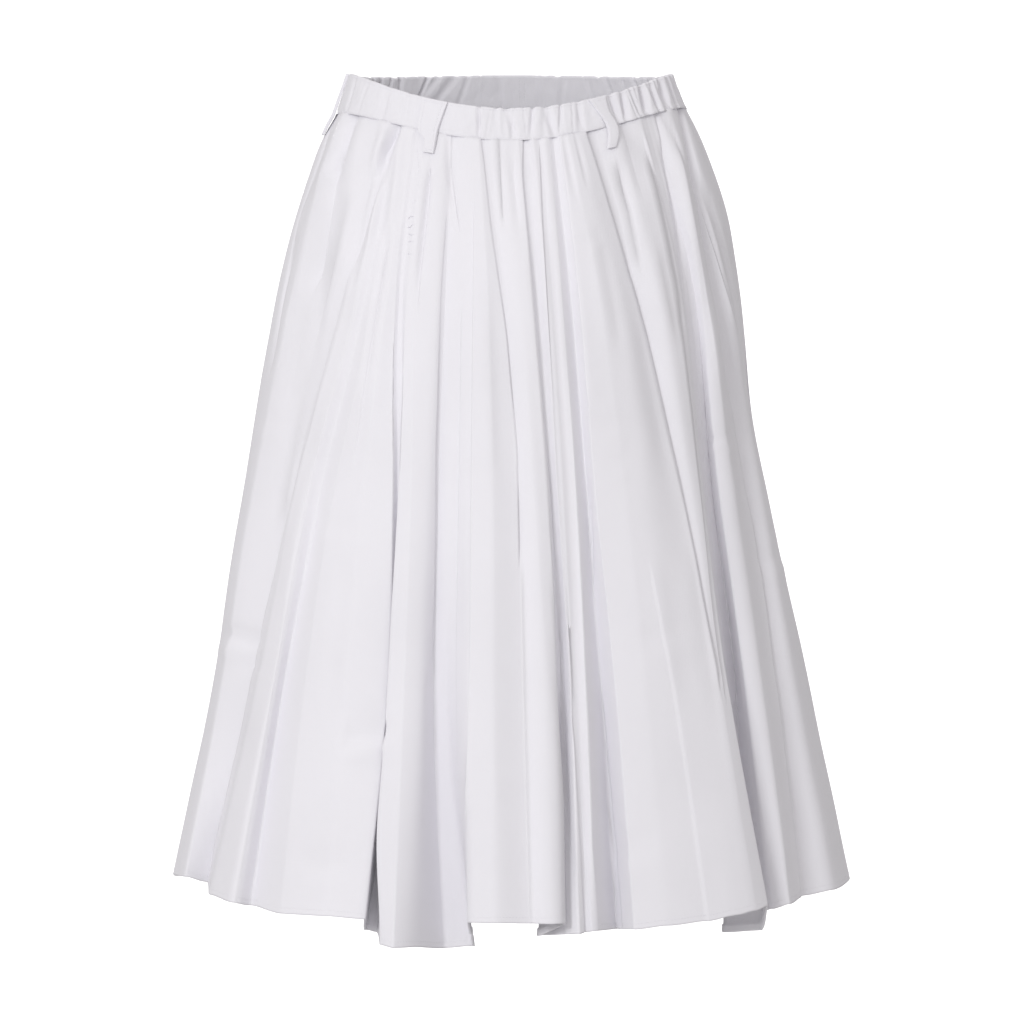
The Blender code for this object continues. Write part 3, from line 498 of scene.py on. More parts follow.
@lru_cache(maxsize=None)
def fold_edges(down):
    """Plan points of all fold rows at one level, from the left side round by the front."""
    sizes = tube(down)
    left, right = sizes[0], sizes[1]
    points = [on_tube(sizes, math.radians(-90), 0)]
    for number, fold in enumerate(FRONT_FOLDS):
        across = read(LEVEL_DOWN, fold.across, down)
        inside = read(LEVEL_DOWN, fold.inside, down)
        if number == SHUT_FOLD:
            across -= SHUT_BY * math.exp(-(((down - SHUT_AT) / SHUT_OVER) ** 2))
        share = across / ((right if across > 0 else left) - inside)
        points.append(on_tube(sizes, math.asin(np.clip(share, -SIDE_MOST, SIDE_MOST)), inside))
    points.append(on_tube(sizes, math.radians(90), 0))
    for fold in BACK_FOLDS:
        angle = fold.waist_angle + (fold.hem_angle - fold.waist_angle) * down
        inside = read(LEVEL_DOWN, fold.inside, down)
        points.append(on_tube(sizes, math.radians(angle), inside))
    return np.array(points)


def round_spline(points, columns):
    """A closed spline through the points, read at fractional point numbers.

    It is centripetal where the cloth is soft, and straight up to the points that are pressed.
    """
    count = len(points)
    index = np.floor(columns).astype(int) % count
    t = (columns - np.floor(columns))[:, None]
    before, start, end, after = (points[(index + step) % count] for step in (-1, 0, 1, 2))
    gaps = [
        np.sqrt(np.linalg.norm(b - a, axis=1))[:, None]
        for a, b in ((before, start), (start, end), (end, after))
    ]
    leave = (start - before) / gaps[0] - (end - before) / (gaps[0] + gaps[1])
    leave = (leave + (end - start) / gaps[1]) * gaps[1]
    arrive = (end - start) / gaps[1] - (after - start) / (gaps[1] + gaps[2])
    arrive = (arrive + (after - end) / gaps[2]) * gaps[1]
    crisp = FOLD_CRISP[:, None]
    leave += (end - start - leave) * crisp[index]
    arrive += (end - start - arrive) * crisp[(index + 1) % count]
    return (
        (2 * t**3 - 3 * t**2 + 1) * start
        + (t**3 - 2 * t**2 + t) * leave
        + (3 * t**2 - 2 * t**3) * end
        + (t**3 - t**2) * arrive
    )


def angles_of(section, sizes):
    """The angle round the waist of each plan point."""
    left, right, front, back = sizes
    x = section[:, 0] / np.where(section[:, 0] > 0, right, left)
    y = section[:, 1] / np.where(section[:, 1] < 0, front, back)
    return np.degrees(np.arctan2(x, -y))


def trough(angles, middle, half_width):
    """1 at the middle of a soft trough, falling to 0 at its sides."""
    away = np.abs((angles - middle + 180) % 360 - 180) / half_width
    return np.where(away < 1, 0.5 + 0.5 * np.cos(np.pi * np.minimum(away, 1)), 0.0)


def gathered(angles, down):
    """How deep the gathers press the cloth in at one level."""
    depth = np.zeros(len(angles))
    for gather in GATHERS:
        if not gather.top <= down <= gather.foot:
            continue
        share = (down - gather.top) / (gather.foot - gather.top)
        middle = gather.top_angle + (gather.foot_angle - gather.top_angle) * share
        opens = min(1.0, (down - gather.top) / GATHER_OPENS)
        opens = GATHER_AT_SEAM + (1 - GATHER_AT_SEAM) * opens if gather.top == 0 else opens
        fades = math.cos(0.5 * math.pi * share) ** GATHER_FADE_POWER if share < 1 else 0.0
        depth += gather.depth * opens * fades * trough(angles, middle, gather.half_width)
    return depth


def waist_line(angles, dip, power):
    """How far a line round the waist lies above its own height at the sides."""
    facing = np.cos(np.radians(angles))
    return np.where(facing > 0, -dip, BACK_RISE) * np.abs(facing) ** power


def seam_height(angles):
    """Height of the waist seam."""
    left = np.maximum(0, -np.sin(np.radians(angles)))
    sides = BAND_FOOT - LEFT_SEAM_DIP * left**2
    return sides + waist_line(angles, SEAM_DIP, SEAM_DIP_POWER)


def top_height(angles):
    """Height of the waistband's top edge, without its ruffle."""
    return BAND_TOP + waist_line(angles, TOP_DIP, TOP_DIP_POWER)


def hem_drops(columns):
    """How far below the origin the hem hangs at each column."""
    drops = [LEFT_SIDE_HEM, *(fold.hem for fold in FRONT_FOLDS), RIGHT_SIDE_HEM]
    drops += [fold.hem for fold in BACK_FOLDS]
    drops = np.array(drops, float)
    start = np.floor(columns).astype(int) % len(drops)
    t = columns - np.floor(columns)
    return drops[start] + (drops[(start + 1) % len(drops)] - drops[start]) * t * t * (3 - 2 * t)


COLUMN_NUDGE = 0.02  # a small step along the folds, for the direction of the cloth


def straight_out(section, sizes):
    """Directions out from the tube itself, whatever the folds do there."""
    left, right, front, back = sizes
    x = section[:, 0] / np.where(section[:, 0] > 0, right, left) ** 2
    y = section[:, 1] / np.where(section[:, 1] < 0, front, back) ** 2
    out = np.stack([x, y], axis=1)
    return out / np.linalg.norm(out, axis=1)[:, None]


def section_at(columns, down, with_gathers=True):
    """Plan points of the cloth's outer face at one level, with the gathers pressed in."""
    sizes = tube(down)
    section = round_spline(fold_edges(down), columns)
    if not with_gathers:
        return section
    depth = gathered(angles_of(section, sizes), down)
    return section - straight_out(section, sizes) * depth[:, None]


def cloth_row(columns, down, with_gathers=True):
    """Points of the cloth's outer face at one level, and their directions out in plan."""
    section = section_at(columns, down, with_gathers)
    along = section_at(columns + COLUMN_NUDGE, down, with_gathers)
    along = along - section_at(columns - COLUMN_NUDGE, down, with_gathers)
    along /= np.linalg.norm(along, axis=1)[:, None]
    out = np.stack([along[:, 1], -along[:, 0]], axis=1)
    at_waist = angles_of(round_spline(fold_edges(0.0), columns), tube(0.0))
    seam = seam_height(at_waist) - SEAM_GAP
    height = seam + (-hem_drops(columns) - seam) * down
    return np.column_stack([section, height]), np.column_stack([out, np.zeros(len(columns))])


def row_shares():
    """Shares of the way down for the panels' rows, closer together near waist and hem."""
    shares = np.linspace(0, 1, PANEL_ROWS) ** ROWS_CROWD_TO_WAIST
    near_hem = 1 - np.array(HEM_ROWS_UP) / HEM_LENGTH
    shares = shares[shares < near_hem[0] - ROW_LEAST]
    return np.unique(np.concatenate([shares, near_hem, [1.0]]))


def seen(points, behind):
    """Where the photograph's camera, or one straight behind, sees points: its pixels."""
    turn = -1 if behind else 1
    nearer = 1 + turn * points[..., 1] / CAMERA_AWAY
    across = turn * points[..., 0] / nearer
    below = (CAMERA_HEIGHT - points[..., 2]) / nearer
    return PHOTO_MIDDLE[0] + across / PHOTO_PIXEL, PHOTO_MIDDLE[1] + below / PHOTO_PIXEL


class Panel:
    """One panel's cloth: its columns follow the pressed edges, and its points are shaped."""

    def __init__(self, first, last, pressed, creases, behind):
        self.first, self.last, self.behind = first, last, behind
        self.pressed = pressed
        self.downs = row_shares()
        self.dense = np.linspace(first, last, int((last - first) / DENSE_STEP) + 1)
        self.views = [self.view(down) for down in self.downs]
        found = [self.follow(line) for line in pressed]
        order = np.argsort([tracked.mean() for tracked in found])
        self.pressed = [pressed[k] for k in order]
        found = [found[k] for k in order]
        low = np.full(len(self.downs), first + LINE_GAP)
        for number, tracked in enumerate(found):
            found[number] = np.clip(tracked, low, last - LINE_GAP * (len(found) - number))
            low = found[number] + LINE_GAP
        self.tracks = np.array(found)
        self.middle = self.tracks.mean(axis=1)
        self.columns, self.line_at = self.spread()
        self.build(creases)

    def view(self, down):
        """What the camera sees of one level without its gathers: pixels, and what faces it."""
        points, out = cloth_row(self.dense, down, with_gathers=False)
        x, y = seen(points, self.behind)
        turn = 1 if self.behind else -1
        return x, y, out[:, 1] * turn > FACES_CAMERA, points[:, 1] * turn

    def follow(self, line):
        """The fold number at which each level meets a pressed edge's path."""
        xs, ys = np.array(line.path, float).T
        choices = []
        for x, y, faces, near in self.views:
            off = x - np.interp(y, ys, xs)
            at = np.where((off[:-1] < 0) & (off[1:] >= 0) & faces[:-1])[0]
            share = off[at] / (off[at] - off[at + 1])
            inside = (y[at] > ys[0] - PATH_END_ROOM) & (y[at] < ys[-1] + PATH_END_ROOM)
            choices.append((self.dense[at] + DENSE_STEP * share, near[at], inside))
        found = np.full(len(self.downs), np.nan)
        rows = [r for r, (_, _, inside) in enumerate(choices) if inside.any()]
        start = rows[len(rows) // 2]
        at, near, inside = choices[start]
        best = at[inside][np.argmax(near[inside])]
        for walk in (rows[len(rows) // 2:], rows[len(rows) // 2::-1]):
            last = best
            for r in walk:
                at, _, inside = choices[r]
                nearest = at[inside][np.argmin(np.abs(at[inside] - last))]
                if abs(nearest - last) < FOLLOW_MOST:
                    last = nearest
                found[r] = last
        known = np.where(~np.isnan(found))[0]
        found = np.interp(np.arange(len(found)), known, found[known])
        padded = np.pad(found, FOLLOW_SMOOTH, mode="edge")
        kernel = np.hanning(2 * FOLLOW_SMOOTH + 3)[1:-1]
        return np.convolve(padded, kernel / kernel.sum(), mode="valid")

    def spread(self):
        """Columns between the pressed edges, denser beside them, and where each edge lies."""
        hem, _ = cloth_row(self.dense, 1.0)
        length = np.concatenate([[0], np.cumsum(np.linalg.norm(np.diff(hem, axis=0), axis=1))])
        pressed = set(self.middle)
        folds = [
            fold for fold in range(self.first + 1, self.last)
            if FOLD_CRISP[fold % len(FOLD_CRISP)] > CRISP_COLUMN
            and np.abs(self.middle - fold).min() > LINE_GAP
        ]
        ends = sorted([self.first, *self.middle, *folds, self.last])
        columns, line_at = [self.first], []
        for start, end in zip(ends, ends[1:]):
            if start in pressed:
                start = start + LINE_STEP
                columns.append(start)
            long = np.diff(np.interp([start, end], self.dense, length))[0]
            count = max(2, round(long / COLUMN_LENGTH))
            t = np.linspace(0, 1, count + 1)
            t = t - CROWD * np.sin(2 * np.pi * t) / (2 * np.pi)
            columns += list(start + (end - start) * t[1:])
            if end in pressed:
                line_at.append(len(columns) - 1)
        return np.array(columns), line_at

    def columns_at(self, row):
        """The columns' fold numbers at one level, shifted so that they follow the edges."""
        return np.interp(
            self.columns,
            [self.first, *self.middle, self.last],
            [self.first, *self.tracks[:, row], self.last],
        )

    def build(self, creases):
        """The outer and inner points, with pressed edges, creases and unevenness."""
        outer, outs = [], []
        for row, down in enumerate(self.downs):
            points, out = cloth_row(self.columns_at(row), down)
            x, y = seen(points, self.behind)
            raised = self.pressed_height(points, y)
            raised += crease_height(x, y, creases)
            raised += noise_height(points, UNEVEN, UNEVEN_TALL)
            turned = soft((down - FOLDED_FROM) / FOLDED_OVER)
            pushed = straight_out(points, tube(down))
            pushed = np.column_stack([pushed, np.zeros(len(pushed))])
            pushed += (out - pushed) * turned
            outer.append(points + pushed * raised[:, None])
            outs.append(out)
        outer, outs = np.array(outer), np.array(outs)
        turned = (1 - self.downs) * HEM_LENGTH <= HEM_TURN + ROUNDING
        inner = outer - outs * (CLOTH + HEM_TURN_CLOTH * turned)[:, None, None]
        for grid in (outer, inner):
            for edge, beside in ((0, 1), (-1, -2)):
                along = grid[:, beside] - grid[:, edge]
                along /= np.linalg.norm(along, axis=1)[:, None]
                grid[:, edge] += along * SEAM_GAP / 2
            grid[0] -= outs[0] * TUCK_IN
            grid[0, :, 2] += TUCK_UP
        self.outer, self.inner, self.outs = outer, inner, outs

    def pressed_height(self, points, y):
        """How far one level's points are raised or sunk beside the pressed edges."""
        length = np.linalg.norm(np.diff(points, axis=0), axis=1)
        length = np.concatenate([[0], np.cumsum(length)])
        raised = np.zeros(len(points))
        for line, at in zip(self.pressed, self.line_at):
            top, foot = line.path[0][1], line.path[-1][1]
            starts = 1.0 if top < AT_WAIST else soft((y[at] - top) / PRESSED_FADE)
            ends = 1.0 if foot > AT_HEM else soft((foot - y[at]) / PRESSED_FADE)
            away = length - (length[at] + length[at + 1]) / 2
            if line.over == "right":
                away = -away
            if line.over == "both":
                width = np.where(away < 0, line.over_width, line.under_width)
                raised -= line.step * starts * ends * np.exp(-np.abs(away) / width)
                continue
            over = PRESSED_OVER * np.exp(-((away / line.over_width) ** 2))
            under = (PRESSED_OVER - 1) * np.exp(-((away / line.under_width) ** 2))
            raised += line.step * starts * ends * np.where(away < 0, over, under)
        return raised


def soft(share):
    """A smooth step from 0 to 1."""
    share = np.clip(share, 0.0, 1.0)
    return share * share * (3 - 2 * share)


def crease_height(x, y, creases):
    """How far the creases sink or raise points seen at these pixels."""
    raised = np.zeros(len(x))
    for crease in creases:
        (x0, y0), (x1, y1) = crease.start, crease.end
        along = np.array([x1 - x0, y1 - y0], float)
        long = np.linalg.norm(along)
        along /= long
        share = ((x - x0) * along[0] + (y - y0) * along[1]) / long
        away = ((x - x0) * -along[1] + (y - y0) * along[0]) * PHOTO_PIXEL / crease.half_width
        past = np.maximum(np.abs(share - 0.5) - CREASE_FULL, 0)
        window = np.exp(-((past / CREASE_FADE) ** 2))
        ridge = CREASE_RIDGE * np.exp(-((away - CREASE_RIDGE_AWAY) ** 2))
        raised += crease.depth * window * (ridge - np.exp(-(away**2)))
    return raised


def noise_height(points, layers, tall):
    """Unevenness over points, in layers of (size, height), each taller than it is wide."""
    raised = np.zeros(len(points))
    for size, height in layers:
        scaled = points / np.array([size, size, tall * size])
        raised += height * np.array([noise.noise(Vector(point)) for point in scaled.tolist()])
    return raised


# ------------------------------------------------------------------ meshes
def wall(outer, inner):
    """Vertices and faces of the wall between two grids of points, rows from top to bottom."""
    count, columns = outer.shape[:2]
    vertices = np.concatenate([outer.reshape(-1, 3), inner.reshape(-1, 3)])
    numbers = np.arange(count * columns).reshape(count, columns)
    behind = count * columns
    own, following = numbers[:, :-1], numbers[:, 1:]
    a, b, e, f = own[:-1], following[:-1], following[1:], own[1:]
    front = np.stack([f, e, b, a], axis=-1).reshape(-1, 4)
    back = np.stack([a, b, e, f], axis=-1).reshape(-1, 4) + behind
    top = np.stack([own[0], following[0], following[0] + behind, own[0] + behind], axis=-1)
    foot = np.stack([own[-1] + behind, following[-1] + behind, following[-1], own[-1]], axis=-1)
    faces = [front, back, top, foot]
    for column, turned in ((0, False), (columns - 1, True)):
        a, f = numbers[:-1, column], numbers[1:, column]
        rim = np.stack([a, a + behind, f + behind, f], axis=-1)
        faces.append(rim[:, ::-1] if turned else rim)
    return vertices, np.concatenate(faces)


def add_object(name, data):
    """A named object in the scene."""
    piece = bpy.data.objects.new(name, data)
    bpy.context.scene.collection.objects.link(piece)
    return piece


def mesh_object(name, vertices, faces, material, uv=None):
    """A named, smooth mesh of points in metres, with an optional map of millimetre lengths."""
    mesh = bpy.data.meshes.new(name)
    mesh.from_pydata(vertices, [], faces)
    mesh.shade_smooth()
    if uv is not None:
        layer = mesh.uv_layers.new(name="cloth")
        corners = np.zeros(len(mesh.loops), int)
        mesh.loops.foreach_get("vertex_index", corners)
        layer.data.foreach_set("uv", (uv[corners] * MM).ravel())
    mesh.materials.append(material)
    return add_object(name, mesh)


def garment_piece(name, vertices, faces, material, uv=None, node=None):
    """A piece of the garment from millimetre points, which may replace a solid's node."""
    piece = mesh_object(name, (vertices * MM).tolist(), faces, material, uv)
    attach(piece, "root")
    if node:
        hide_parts(node)
    return piece


def lengths_along(grid):
    """Distance along each row from the panel's middle column, and down each column."""
    across = np.linalg.norm(np.diff(grid, axis=1), axis=2)
    across = np.concatenate([np.zeros((len(grid), 1)), np.cumsum(across, axis=1)], axis=1)
    across -= across[:, grid.shape[1] // 2][:, None]
    down = np.linalg.norm(np.diff(grid, axis=0), axis=2)
    down = np.concatenate([np.zeros((1, grid.shape[1])), np.cumsum(down, axis=0)], axis=0)
    return np.stack([across, down], axis=-1)


# ------------------------------------------------------------------ cotton
SKIRT_TINT = (0.83, 0.82, 0.86)
BAND_TINT = (0.82, 0.81, 0.85)
THREAD_TINT = (0.80, 0.79, 0.83)
SKIRT_WEAVE = 0.000012  # metres, as all depths and spacings in this section
BAND_WEAVE = 0.000015
COTTON = {
    "Roughness": 0.82,
    "Specular IOR Level": 0.25,
    "Sheen Weight": 0.12,
    "Sheen Roughness": 0.45,
}
PATCH_SHADE = 0.975  # how dark the darkest of the cloth's soft patches are
PATCHES_FROM, PATCHES_TO = 0.35, 0.65
YARN_RADIAN = 0.00045  # metres to a radian of the wave that stands for the yarns
WAVE_RADIANS = 20  # radians of the wave texture to a metre at scale 1
MOTTLES = ((60.0, 0.00016), (260.0, 0.00005))  # scale and depth of the unevenness in the yarn


def add_node(nodes, kind, **values):
    """A new shader node, with values on its sockets."""
    node = nodes.new("ShaderNode" + kind)
    for socket, value in values.items():
        node.inputs[socket].default_value = value
    return node


def new_material(name, values):
    """A material, its nodes and links, and its shader with values on its sockets."""
    material = bpy.data.materials.new(name)
    material.use_nodes = True
    shader = material.node_tree.nodes["Principled BSDF"]
    for socket, value in values.items():
        shader.inputs[socket].default_value = value
    return material, material.node_tree.nodes, material.node_tree.links, shader


def cotton_material(name, tint, weave_depth):
    """White plain-woven cotton: fine threads, slubs and the soft unevenness of worn cloth."""
    material, nodes, links, shader = new_material(name, COTTON)
    cloth_map = nodes.new("ShaderNodeUVMap")
    cloth_map.uv_map = "cloth"
    place = nodes.new("ShaderNodeTexCoord")

    uneven = add_node(nodes, "TexNoise", Scale=9.0, Detail=3.0)
    links.new(place.outputs["Object"], uneven.inputs["Vector"])
    colours = nodes.new("ShaderNodeValToRGB")
    colours.color_ramp.elements[0].position = PATCHES_FROM
    colours.color_ramp.elements[0].color = (*[PATCH_SHADE * value for value in tint], 1.0)
    colours.color_ramp.elements[1].position = PATCHES_TO
    colours.color_ramp.elements[1].color = (*tint, 1.0)
    links.new(uneven.outputs["Fac"], colours.inputs["Fac"])
    links.new(colours.outputs["Color"], shader.inputs["Base Color"])

    weave = nodes.new("ShaderNodeMath")
    weave.operation = "MULTIPLY"
    for number, direction in enumerate(("X", "Y")):
        yarns = add_node(nodes, "TexWave", Distortion=0.8, Detail=1.0,
                         Scale=1 / YARN_RADIAN / WAVE_RADIANS)
        yarns.bands_direction = direction
        links.new(cloth_map.outputs["UV"], yarns.inputs["Vector"])
        links.new(yarns.outputs["Fac"], weave.inputs[number])
    heights = [(weave.outputs[0], weave_depth)]
    for scale, depth in MOTTLES:
        mottle = add_node(nodes, "TexNoise", Scale=scale, Detail=4.0)
        links.new(place.outputs["Object"], mottle.inputs["Vector"])
        heights.append((mottle.outputs["Fac"], depth))
    bump = None
    for height, depth in heights:
        before = bump
        bump = add_node(nodes, "Bump", Strength=1.0, Distance=depth)
        links.new(height, bump.inputs["Height"])
        if before:
            links.new(before.outputs["Normal"], bump.inputs["Normal"])
    links.new(bump.outputs["Normal"], shader.inputs["Normal"])
    return material


def thread_material():
    """Matt white sewing thread, with its twist as a fine bump."""
    values = {"Base Color": (*THREAD_TINT, 1.0), "Roughness": 0.6}
    material, nodes, links, shader = new_material("white_thread", values)
    twist = add_node(nodes, "TexNoise", Scale=3000.0)
    place = nodes.new("ShaderNodeTexCoord")
    links.new(place.outputs["Object"], twist.inputs["Vector"])
    bump = add_node(nodes, "Bump", Distance=0.00003)
    links.new(twist.outputs["Fac"], bump.inputs["Height"])
    links.new(bump.outputs["Normal"], shader.inputs["Normal"])
    return material


skirt_cotton = cotton_material("white_poplin", SKIRT_TINT, SKIRT_WEAVE)
band_cotton = cotton_material("white_poplin_folded", BAND_TINT, BAND_WEAVE)
thread = thread_material()


# ------------------------------------------------------------------ the skirt's panels
def make_panel(name, node, panel):
    """One panel as a thin shell on its solid's form."""
    uv = lengths_along(panel.outer).reshape(-1, 2)
    vertices, faces = wall(panel.outer, panel.inner)
    return garment_piece(name, vertices, faces.tolist(), skirt_cotton,
                         np.concatenate([uv, uv]), node)


SIDE_RIGHT = len(FRONT_FOLDS) + 1
SIDE_LEFT_AGAIN = len(FRONT_FOLDS) + len(BACK_FOLDS) + 2
front_cloth = Panel(0, SIDE_RIGHT, FRONT_PRESSED, FRONT_CREASES, behind=False)
back_cloth = Panel(SIDE_RIGHT, SIDE_LEFT_AGAIN, BACK_PRESSED, BACK_CREASES, behind=True)
front_panel = make_panel("front_panel", "skirt_front", front_cloth)
back_panel = make_panel("back_panel", "skirt_back", back_cloth)


# ------------------------------------------------------------------ the waistband
def puckers():
    """Every pucker of the waistband, from the left side round by the front."""
    found = list(FRONT_PUCKERS)
    for first, last, count in BACK_PUCKERS:
        for step in range(count):
            sway = math.sin(PUCKER_SWAY_STEP * step + first)
            angle = first + (last - first) * step / (count - 1) + PUCKER_SWAY * sway
            found.append(Pucker(angle, PUCKER_DEPTH + PUCKER_DEPTH_SWAY * sway))
    return found


def band_points(angles, up, drawn_in):
    """Points of the waistband at a share of its height, drawn in by a depth."""
    turn = np.radians(angles)
    width, depth = (
        foot + (top - foot) * up for foot, top in zip(BAND_FOOT_SHAPE, BAND_TOP_SHAPE)
    )
    height = seam_height(angles) + (top_height(angles) - seam_height(angles)) * up
    return np.column_stack(
        [(width - drawn_in) * np.sin(turn), -(depth - drawn_in) * np.cos(turn), height]
    )


def drawn(angles, up):
    """How deep the elastic draws the band's outer face in, with leaning, uneven puckers."""
    depth = np.zeros(len(angles))
    level = float(np.interp(up, BAND_LEVELS, BAND_LEVEL_PUCKER))
    for number, pucker in enumerate(puckers()):
        lean = PUCKER_LEAN * math.sin(PUCKER_LEAN_STEP * number) * (up - 0.5)
        sway = math.sin(PUCKER_WIDTH_STEP * number + PUCKER_WIDTH_START)
        fine = PUCKER_HALF_WIDTH * (PUCKER_WIDTH + PUCKER_WIDTH_SWAY * sway)
        reach = 0.5 + 0.5 * math.sin(PUCKER_REACH_STEP * number)
        fades = 1 - PUCKER_FADE * reach * (up if number % PUCKER_FROM_TOP_EVERY else 1 - up)
        depth += pucker.depth * level * fades * trough(angles, pucker.angle + lean, fine)
    depth = np.minimum(depth, DRAWN_MOST)
    opens = math.sin(math.pi * float(np.clip(up, 0, 1))) ** BAND_FOLD_POWER
    opens = max(opens, BAND_FOLD_AT_TOP * up)
    for fold in BAND_FOLDS:
        middle = fold.foot_angle + (fold.top_angle - fold.foot_angle) * up
        depth += fold.depth * opens * trough(angles, middle, fold.half_width)
    return depth


def crumpled(angles, up, drawn_in):
    """How far the band's cloth stands out by its small crumples."""
    return noise_height(band_points(angles, up, drawn_in), BAND_UNEVEN, CRUMPLE_TALL)


def outer_depth(angles, up):
    """How deep the band's outer face lies, all in."""
    return drawn(angles, up) + CRUMPLED_IN - crumpled(angles, up, 0.0)


def inner_depth(angles, up):
    """How deep the band's inner face lies: its own folds, and clear of the outer face."""
    own = BAND_INSIDE - inner_folds(angles, up)
    own = own + crumpled(angles, up, BAND_INSIDE)
    return np.maximum(own, outer_depth(angles, up) + BAND_WALL_LEAST)


def foot_roll(angles):
    """How far the band's lower edge bulges over the seam, or turns in above it."""
    start, end = BAND_FOOT_ROLL_FROM
    bulges = soft((angles - start) / (end - start)) * (angles < BAND_FOOT_ROLL_TO)
    return BAND_FOOT_ROLL * bulges - BAND_FOOT_SINK * (1 - bulges)


def inner_folds(angles, up):
    """How deep the folds of the band's inner face are."""
    depth = np.zeros(len(angles))
    for fold in INNER_FOLDS:
        middle = fold.top_angle + (fold.foot_angle - fold.top_angle) * (1 - up)
        depth += fold.depth * trough(angles, middle, fold.half_width)
    return depth


def make_waistband():
    """The elasticated band with a rolled top edge, a ruffle and puckers on both faces."""
    angles = np.linspace(-180, 180, BAND_COLUMNS, endpoint=False)
    rows = []
    ruffle = RUFFLE * np.minimum(drawn(angles, 1.0), RUFFLE_MOST) / PUCKER_DEPTH
    ups = np.linspace(BAND_LOWEST, BAND_HIGHEST, BAND_ROWS)
    bulge = np.exp(-(((ups - BAND_LOWEST) / BAND_FOOT_BULGE) ** 2))
    rolls = foot_roll(angles)
    for up, share in zip(ups, bulge):
        points = band_points(angles, up, outer_depth(angles, up) - rolls * share)
        points[:, 2] -= ruffle * up**RUFFLE_POWER
        rows.append(points)
    front, back = outer_depth(angles, BAND_HIGHEST), inner_depth(angles, BAND_HIGHEST)
    for step in range(1, BAND_EDGE_STEPS):
        turn = math.pi * step / BAND_EDGE_STEPS
        across = 0.5 - 0.5 * math.cos(turn)
        points = band_points(angles, BAND_HIGHEST, front + (back - front) * across)
        points[:, 2] += BAND_EDGE_ROLL * math.sin(turn) - ruffle * BAND_HIGHEST**RUFFLE_POWER
        rows.append(points)
    for up in ups[::-1]:
        points = band_points(angles, up, inner_depth(angles, up))
        points[:, 2] -= ruffle * up**RUFFLE_POWER
        rows.append(points)
    front = outer_depth(angles, BAND_LOWEST) - rolls
    back = inner_depth(angles, BAND_LOWEST)
    for step in range(1, BAND_FOOT_STEPS):
        turn = math.pi * step / BAND_FOOT_STEPS
        across = 0.5 + 0.5 * math.cos(turn)
        points = band_points(angles, BAND_LOWEST, front + (back - front) * across)
        points[:, 2] -= BAND_FOOT_DROP * math.sin(turn) ** BAND_FOOT_SQUARE
        rows.append(points)
    grid = np.array(rows)
    count, columns = grid.shape[:2]
    numbers = np.arange(count * columns).reshape(count, columns)
    right, above = np.roll(numbers, -1, axis=1), np.roll(numbers, -1, axis=0)
    both = np.roll(right, -1, axis=0)
    faces = np.stack([numbers, right, both, above], axis=-1).reshape(-1, 4)
    across = np.linalg.norm(np.diff(grid, axis=1), axis=2)
    across = np.concatenate([np.zeros((count, 1)), np.cumsum(across, axis=1)], axis=1)
    long = np.linalg.norm(np.diff(grid, axis=0), axis=2)
    long = np.concatenate([np.zeros((1, columns)), np.cumsum(long, axis=0)], axis=0)
    uv = np.stack([across, long], axis=-1).reshape(-1, 2)
    return garment_piece("band", grid.reshape(-1, 3), faces.tolist(), band_cotton,
                         uv, "waistband")


# ------------------------------------------------------------------ the belt loops
def cloth_behind(angles, height_share):
    """Points of the garment behind a loop: 1 is the band's top, 0 the seam, less is below."""
    if height_share >= 0:
        return band_points(angles, height_share, 0.0)
    fall = LOOP_BELOW_SEAM * -height_share
    length = seam_height(angles) + (LEFT_SIDE_HEM + RIGHT_SIDE_HEM) / 2
    sizes = tube(float(fall / length.mean()))
    plan = [on_tube(sizes, angle, 0.0) for angle in np.radians(angles)]
    return np.column_stack([plan, seam_height(angles) - fall])


def loop_grid(loop, heights, shares, lift_more, lift_share=1.0):
    """Points over a loop: heights from top to foot, shares from its left edge to its right."""
    middle = band_points(np.array([loop.angle]), 0.5, 0.0)[0]
    degrees_a_mm = math.degrees(1 / math.hypot(middle[0], middle[1]))
    knots = [-row.height for row in LOOP_OUTLINE]
    rows = []
    for height in heights:
        sides = read(knots, [getattr(row, loop.outline) for row in LOOP_OUTLINE], -height)
        lift = read(knots, [row.lift for row in LOOP_OUTLINE], -height) * lift_share + lift_more
        spread = -sides[0] + (sides[0] + sides[1]) * shares
        behind = cloth_behind(loop.angle + spread * degrees_a_mm, height)
        out = behind[:, :2] / np.linalg.norm(behind[:, :2], axis=1)[:, None]
        crown = LOOP_CROWN * (1 - (2 * shares - 1) ** 2) - LOOP_CROWN
        behind[:, :2] += out * (lift + crown)[:, None]
        rows.append(behind)
    return np.array(rows)


def make_loop(loop):
    """A folded strip with rounded edges, sewn down at its top and its foot."""
    heights = np.linspace(1.0, -1.0, LOOP_ROWS)
    shares = 0.5 - 0.5 * np.cos(np.linspace(0, math.pi, LOOP_COLUMNS))
    outer = loop_grid(loop, heights, shares, LOOP_CLOTH)
    inner = loop_grid(loop, heights, shares, 0.0, LOOP_INNER_LIFT)
    uv = lengths_along(outer).reshape(-1, 2)
    vertices, faces = wall(outer, inner)
    piece = garment_piece(loop.name + "_strip", vertices, faces.tolist(), band_cotton,
                          np.concatenate([uv, uv]), loop.name)
    bevel = piece.modifiers.new("rounded", "BEVEL")
    bevel.width = LOOP_ROUND * MM
    bevel.segments = LOOP_ROUND_STEPS
    bevel.limit_method = "ANGLE"
    return piece


# ------------------------------------------------------------------ sewing
def even_path(points, outs, step):
    """The path's points and directions out, read at even distances."""
    length = np.concatenate([[0], np.cumsum(np.linalg.norm(np.diff(points, axis=0), axis=1))])
    at = np.arange(0, length[-1], step)
    read_all = [np.interp(at, length, values) for values in (*points.T, *outs.T)]
    return np.array(read_all[:3]).T, np.array(read_all[3:]).T


